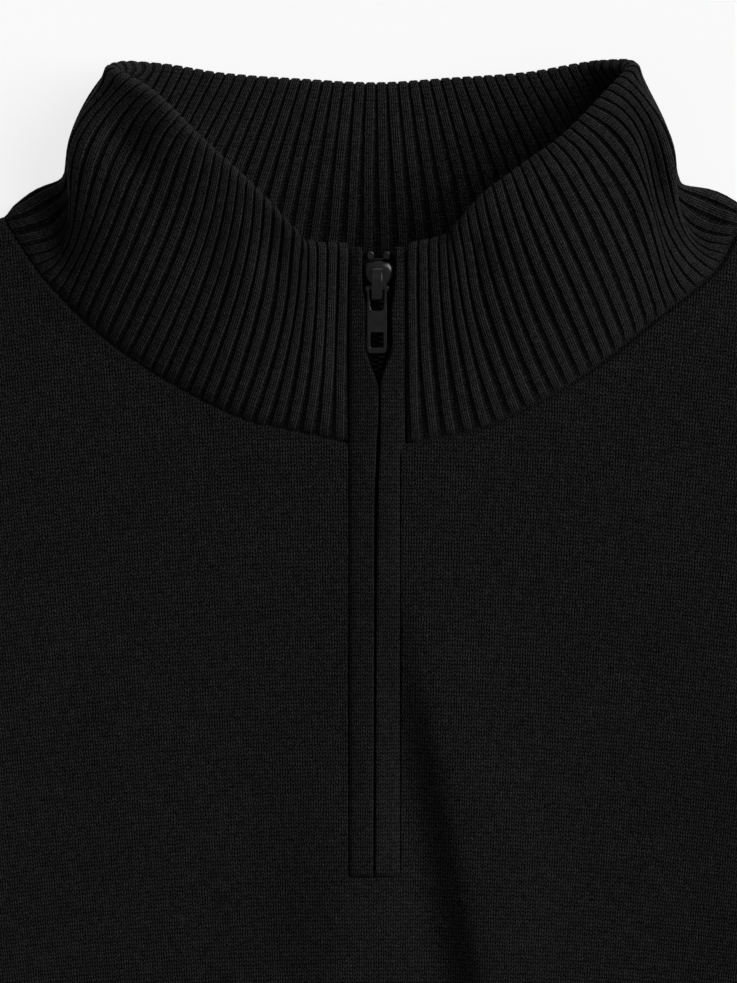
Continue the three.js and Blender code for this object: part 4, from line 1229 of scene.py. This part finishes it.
def speckled(name, dark, light, speckle, sockets, skin=None, gloss=None):
    """A finish between two shades. speckle is its noise's scale and detail, skin the scale of a faint
    unevenness of the surface, and gloss the roughness where the speckle is dark and where it is light."""
    material, tree, shader = new_material(name)
    thing = add(tree, "ShaderNodeTexCoord").outputs["Object"]
    wear = add(tree, "ShaderNodeTexNoise", {"Vector": thing, "Scale": speckle[0], "Detail": speckle[1]})
    shade = add(tree, "ShaderNodeMix", {0: wear, 6: linear(dark), 7: linear(light)}, data_type="RGBA")
    feed(tree, shader, {"Base Color": shade.outputs[2], **sockets})
    if skin:
        uneven = add(tree, "ShaderNodeTexNoise", {"Vector": thing, "Scale": skin, "Detail": 2.0})
        bump = add(tree, "ShaderNodeBump", {"Height": uneven, "Distance": 0.02 * MM, "Strength": 1.0})
        feed(tree, shader, {"Normal": bump})
    if gloss:
        worn = add(tree, "ShaderNodeMapRange", {0: wear, 1: 0.3, 2: 0.7, 3: gloss[0], 4: gloss[1]})
        feed(tree, shader, {"Roughness": worn})
    return material


tape_finish = woven_tape()
tooth_finish = speckled(
    "black_moulded_acetal", "#020202", "#050505", (900.0, 2.0),
    {"Roughness": 0.42, "Specular IOR Level": 0.08}, skin=900.0,
)
lacquer_finish = speckled(
    "black_lacquered_zinc", "#040404", "#0c0c0c", (260.0, 4.0),
    {"Specular IOR Level": 0.42}, skin=700.0, gloss=(0.2, 0.36),
)

# %% [markdown]
# ## Dressing the frame
# Each piece takes its finish, rides on its body and hides the plain solids that it stands for.


# %% Finishes and bodies
def dress(obj, finish, nodes=(), body="garment"):
    obj.data.materials.append(finish)
    if nodes:
        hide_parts(*nodes)
    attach(obj, body)


dress(front, jersey_finish, ["front_panel"])
dress(back, jersey_finish, ["back_panel"])
dress(collar, rib_finish, ["collar"])
dress(hem, rib_finish, ["hem_band"])
dress(teeth, tooth_finish, ["zip_chain"])
dress(slider, lacquer_finish, ["zip_slider"])
dress(stops[-1], lacquer_finish, ["zip_stop_left"])
dress(stops[1], lacquer_finish, ["zip_stop_right"])
dress(pull, lacquer_finish, ["zip_pull"], "pull")
for roll in rolls:
    dress(roll, seam_finish)
for side, label in SIDES.items():
    dress(strips[side], jersey_finish, [f"placket_{label}"])
    dress(sleeves[side], jersey_finish, [f"sleeve_{label}"])
    dress(cuffs[side], rib_finish, [f"cuff_{label}"])
    dress(tapes[side], tape_finish, [f"zip_tape_{label}"])

# %% [markdown]
# ## Table and light
# The sweater lies on a white table with a glow painted into it, which fills in its cast shadow so
# that the shadow stays faint. One soft light stands low to the upper right, so that slopes that face
# left are dark, and the pale room fills the rest.


# %% Table
# Painted light: the table glows though it is no lamp, which fills in the sweater's cast shadow; its own
# grey is darker so that glow and light add up to white.
TABLE_GLOW = 0.80
WHITE = (1, 1, 1, 1)


def pale_table():
    bm = bmesh.new()
    bmesh.ops.create_grid(bm, x_segments=4, y_segments=4, size=30)
    bmesh.ops.translate(bm, vec=(0, 0, -0.0002), verts=bm.verts)
    table = finished("pale_table", bm)
    # The table's glow is painted light that fills in the cast shadow.
    table.data.materials.append(speckled(
        "white_table_glow_filling_shadow", "#666666", "#6a6a6a", (300.0, 2.0),
        {"Roughness": 0.9, "Specular IOR Level": 0.0, "Emission Color": WHITE,
         "Emission Strength": TABLE_GLOW},
    ))


pale_table()

# %% Light
KEY_HEIGHT, KEY_WAY, KEY_SOFTNESS, KEY_STRENGTH = 40, 20, 50, 4.0
ROOM_LIGHT = 0.26

key_data = bpy.data.lights.new("Key", "SUN")
key_data.angle = math.radians(KEY_SOFTNESS)
key_data.energy = KEY_STRENGTH
key = bpy.data.objects.new("Key", key_data)
key.rotation_euler = (math.radians(90 - KEY_HEIGHT), 0, math.radians(KEY_WAY + 90))
bpy.context.scene.collection.objects.link(key)

world = bpy.data.worlds.new("Room")
world.use_nodes = True
feed(world.node_tree, world.node_tree.nodes["Background"], {"Color": WHITE, "Strength": ROOM_LIGHT})
bpy.context.scene.world = world
bpy.context.scene.view_settings.view_transform = "Standard"
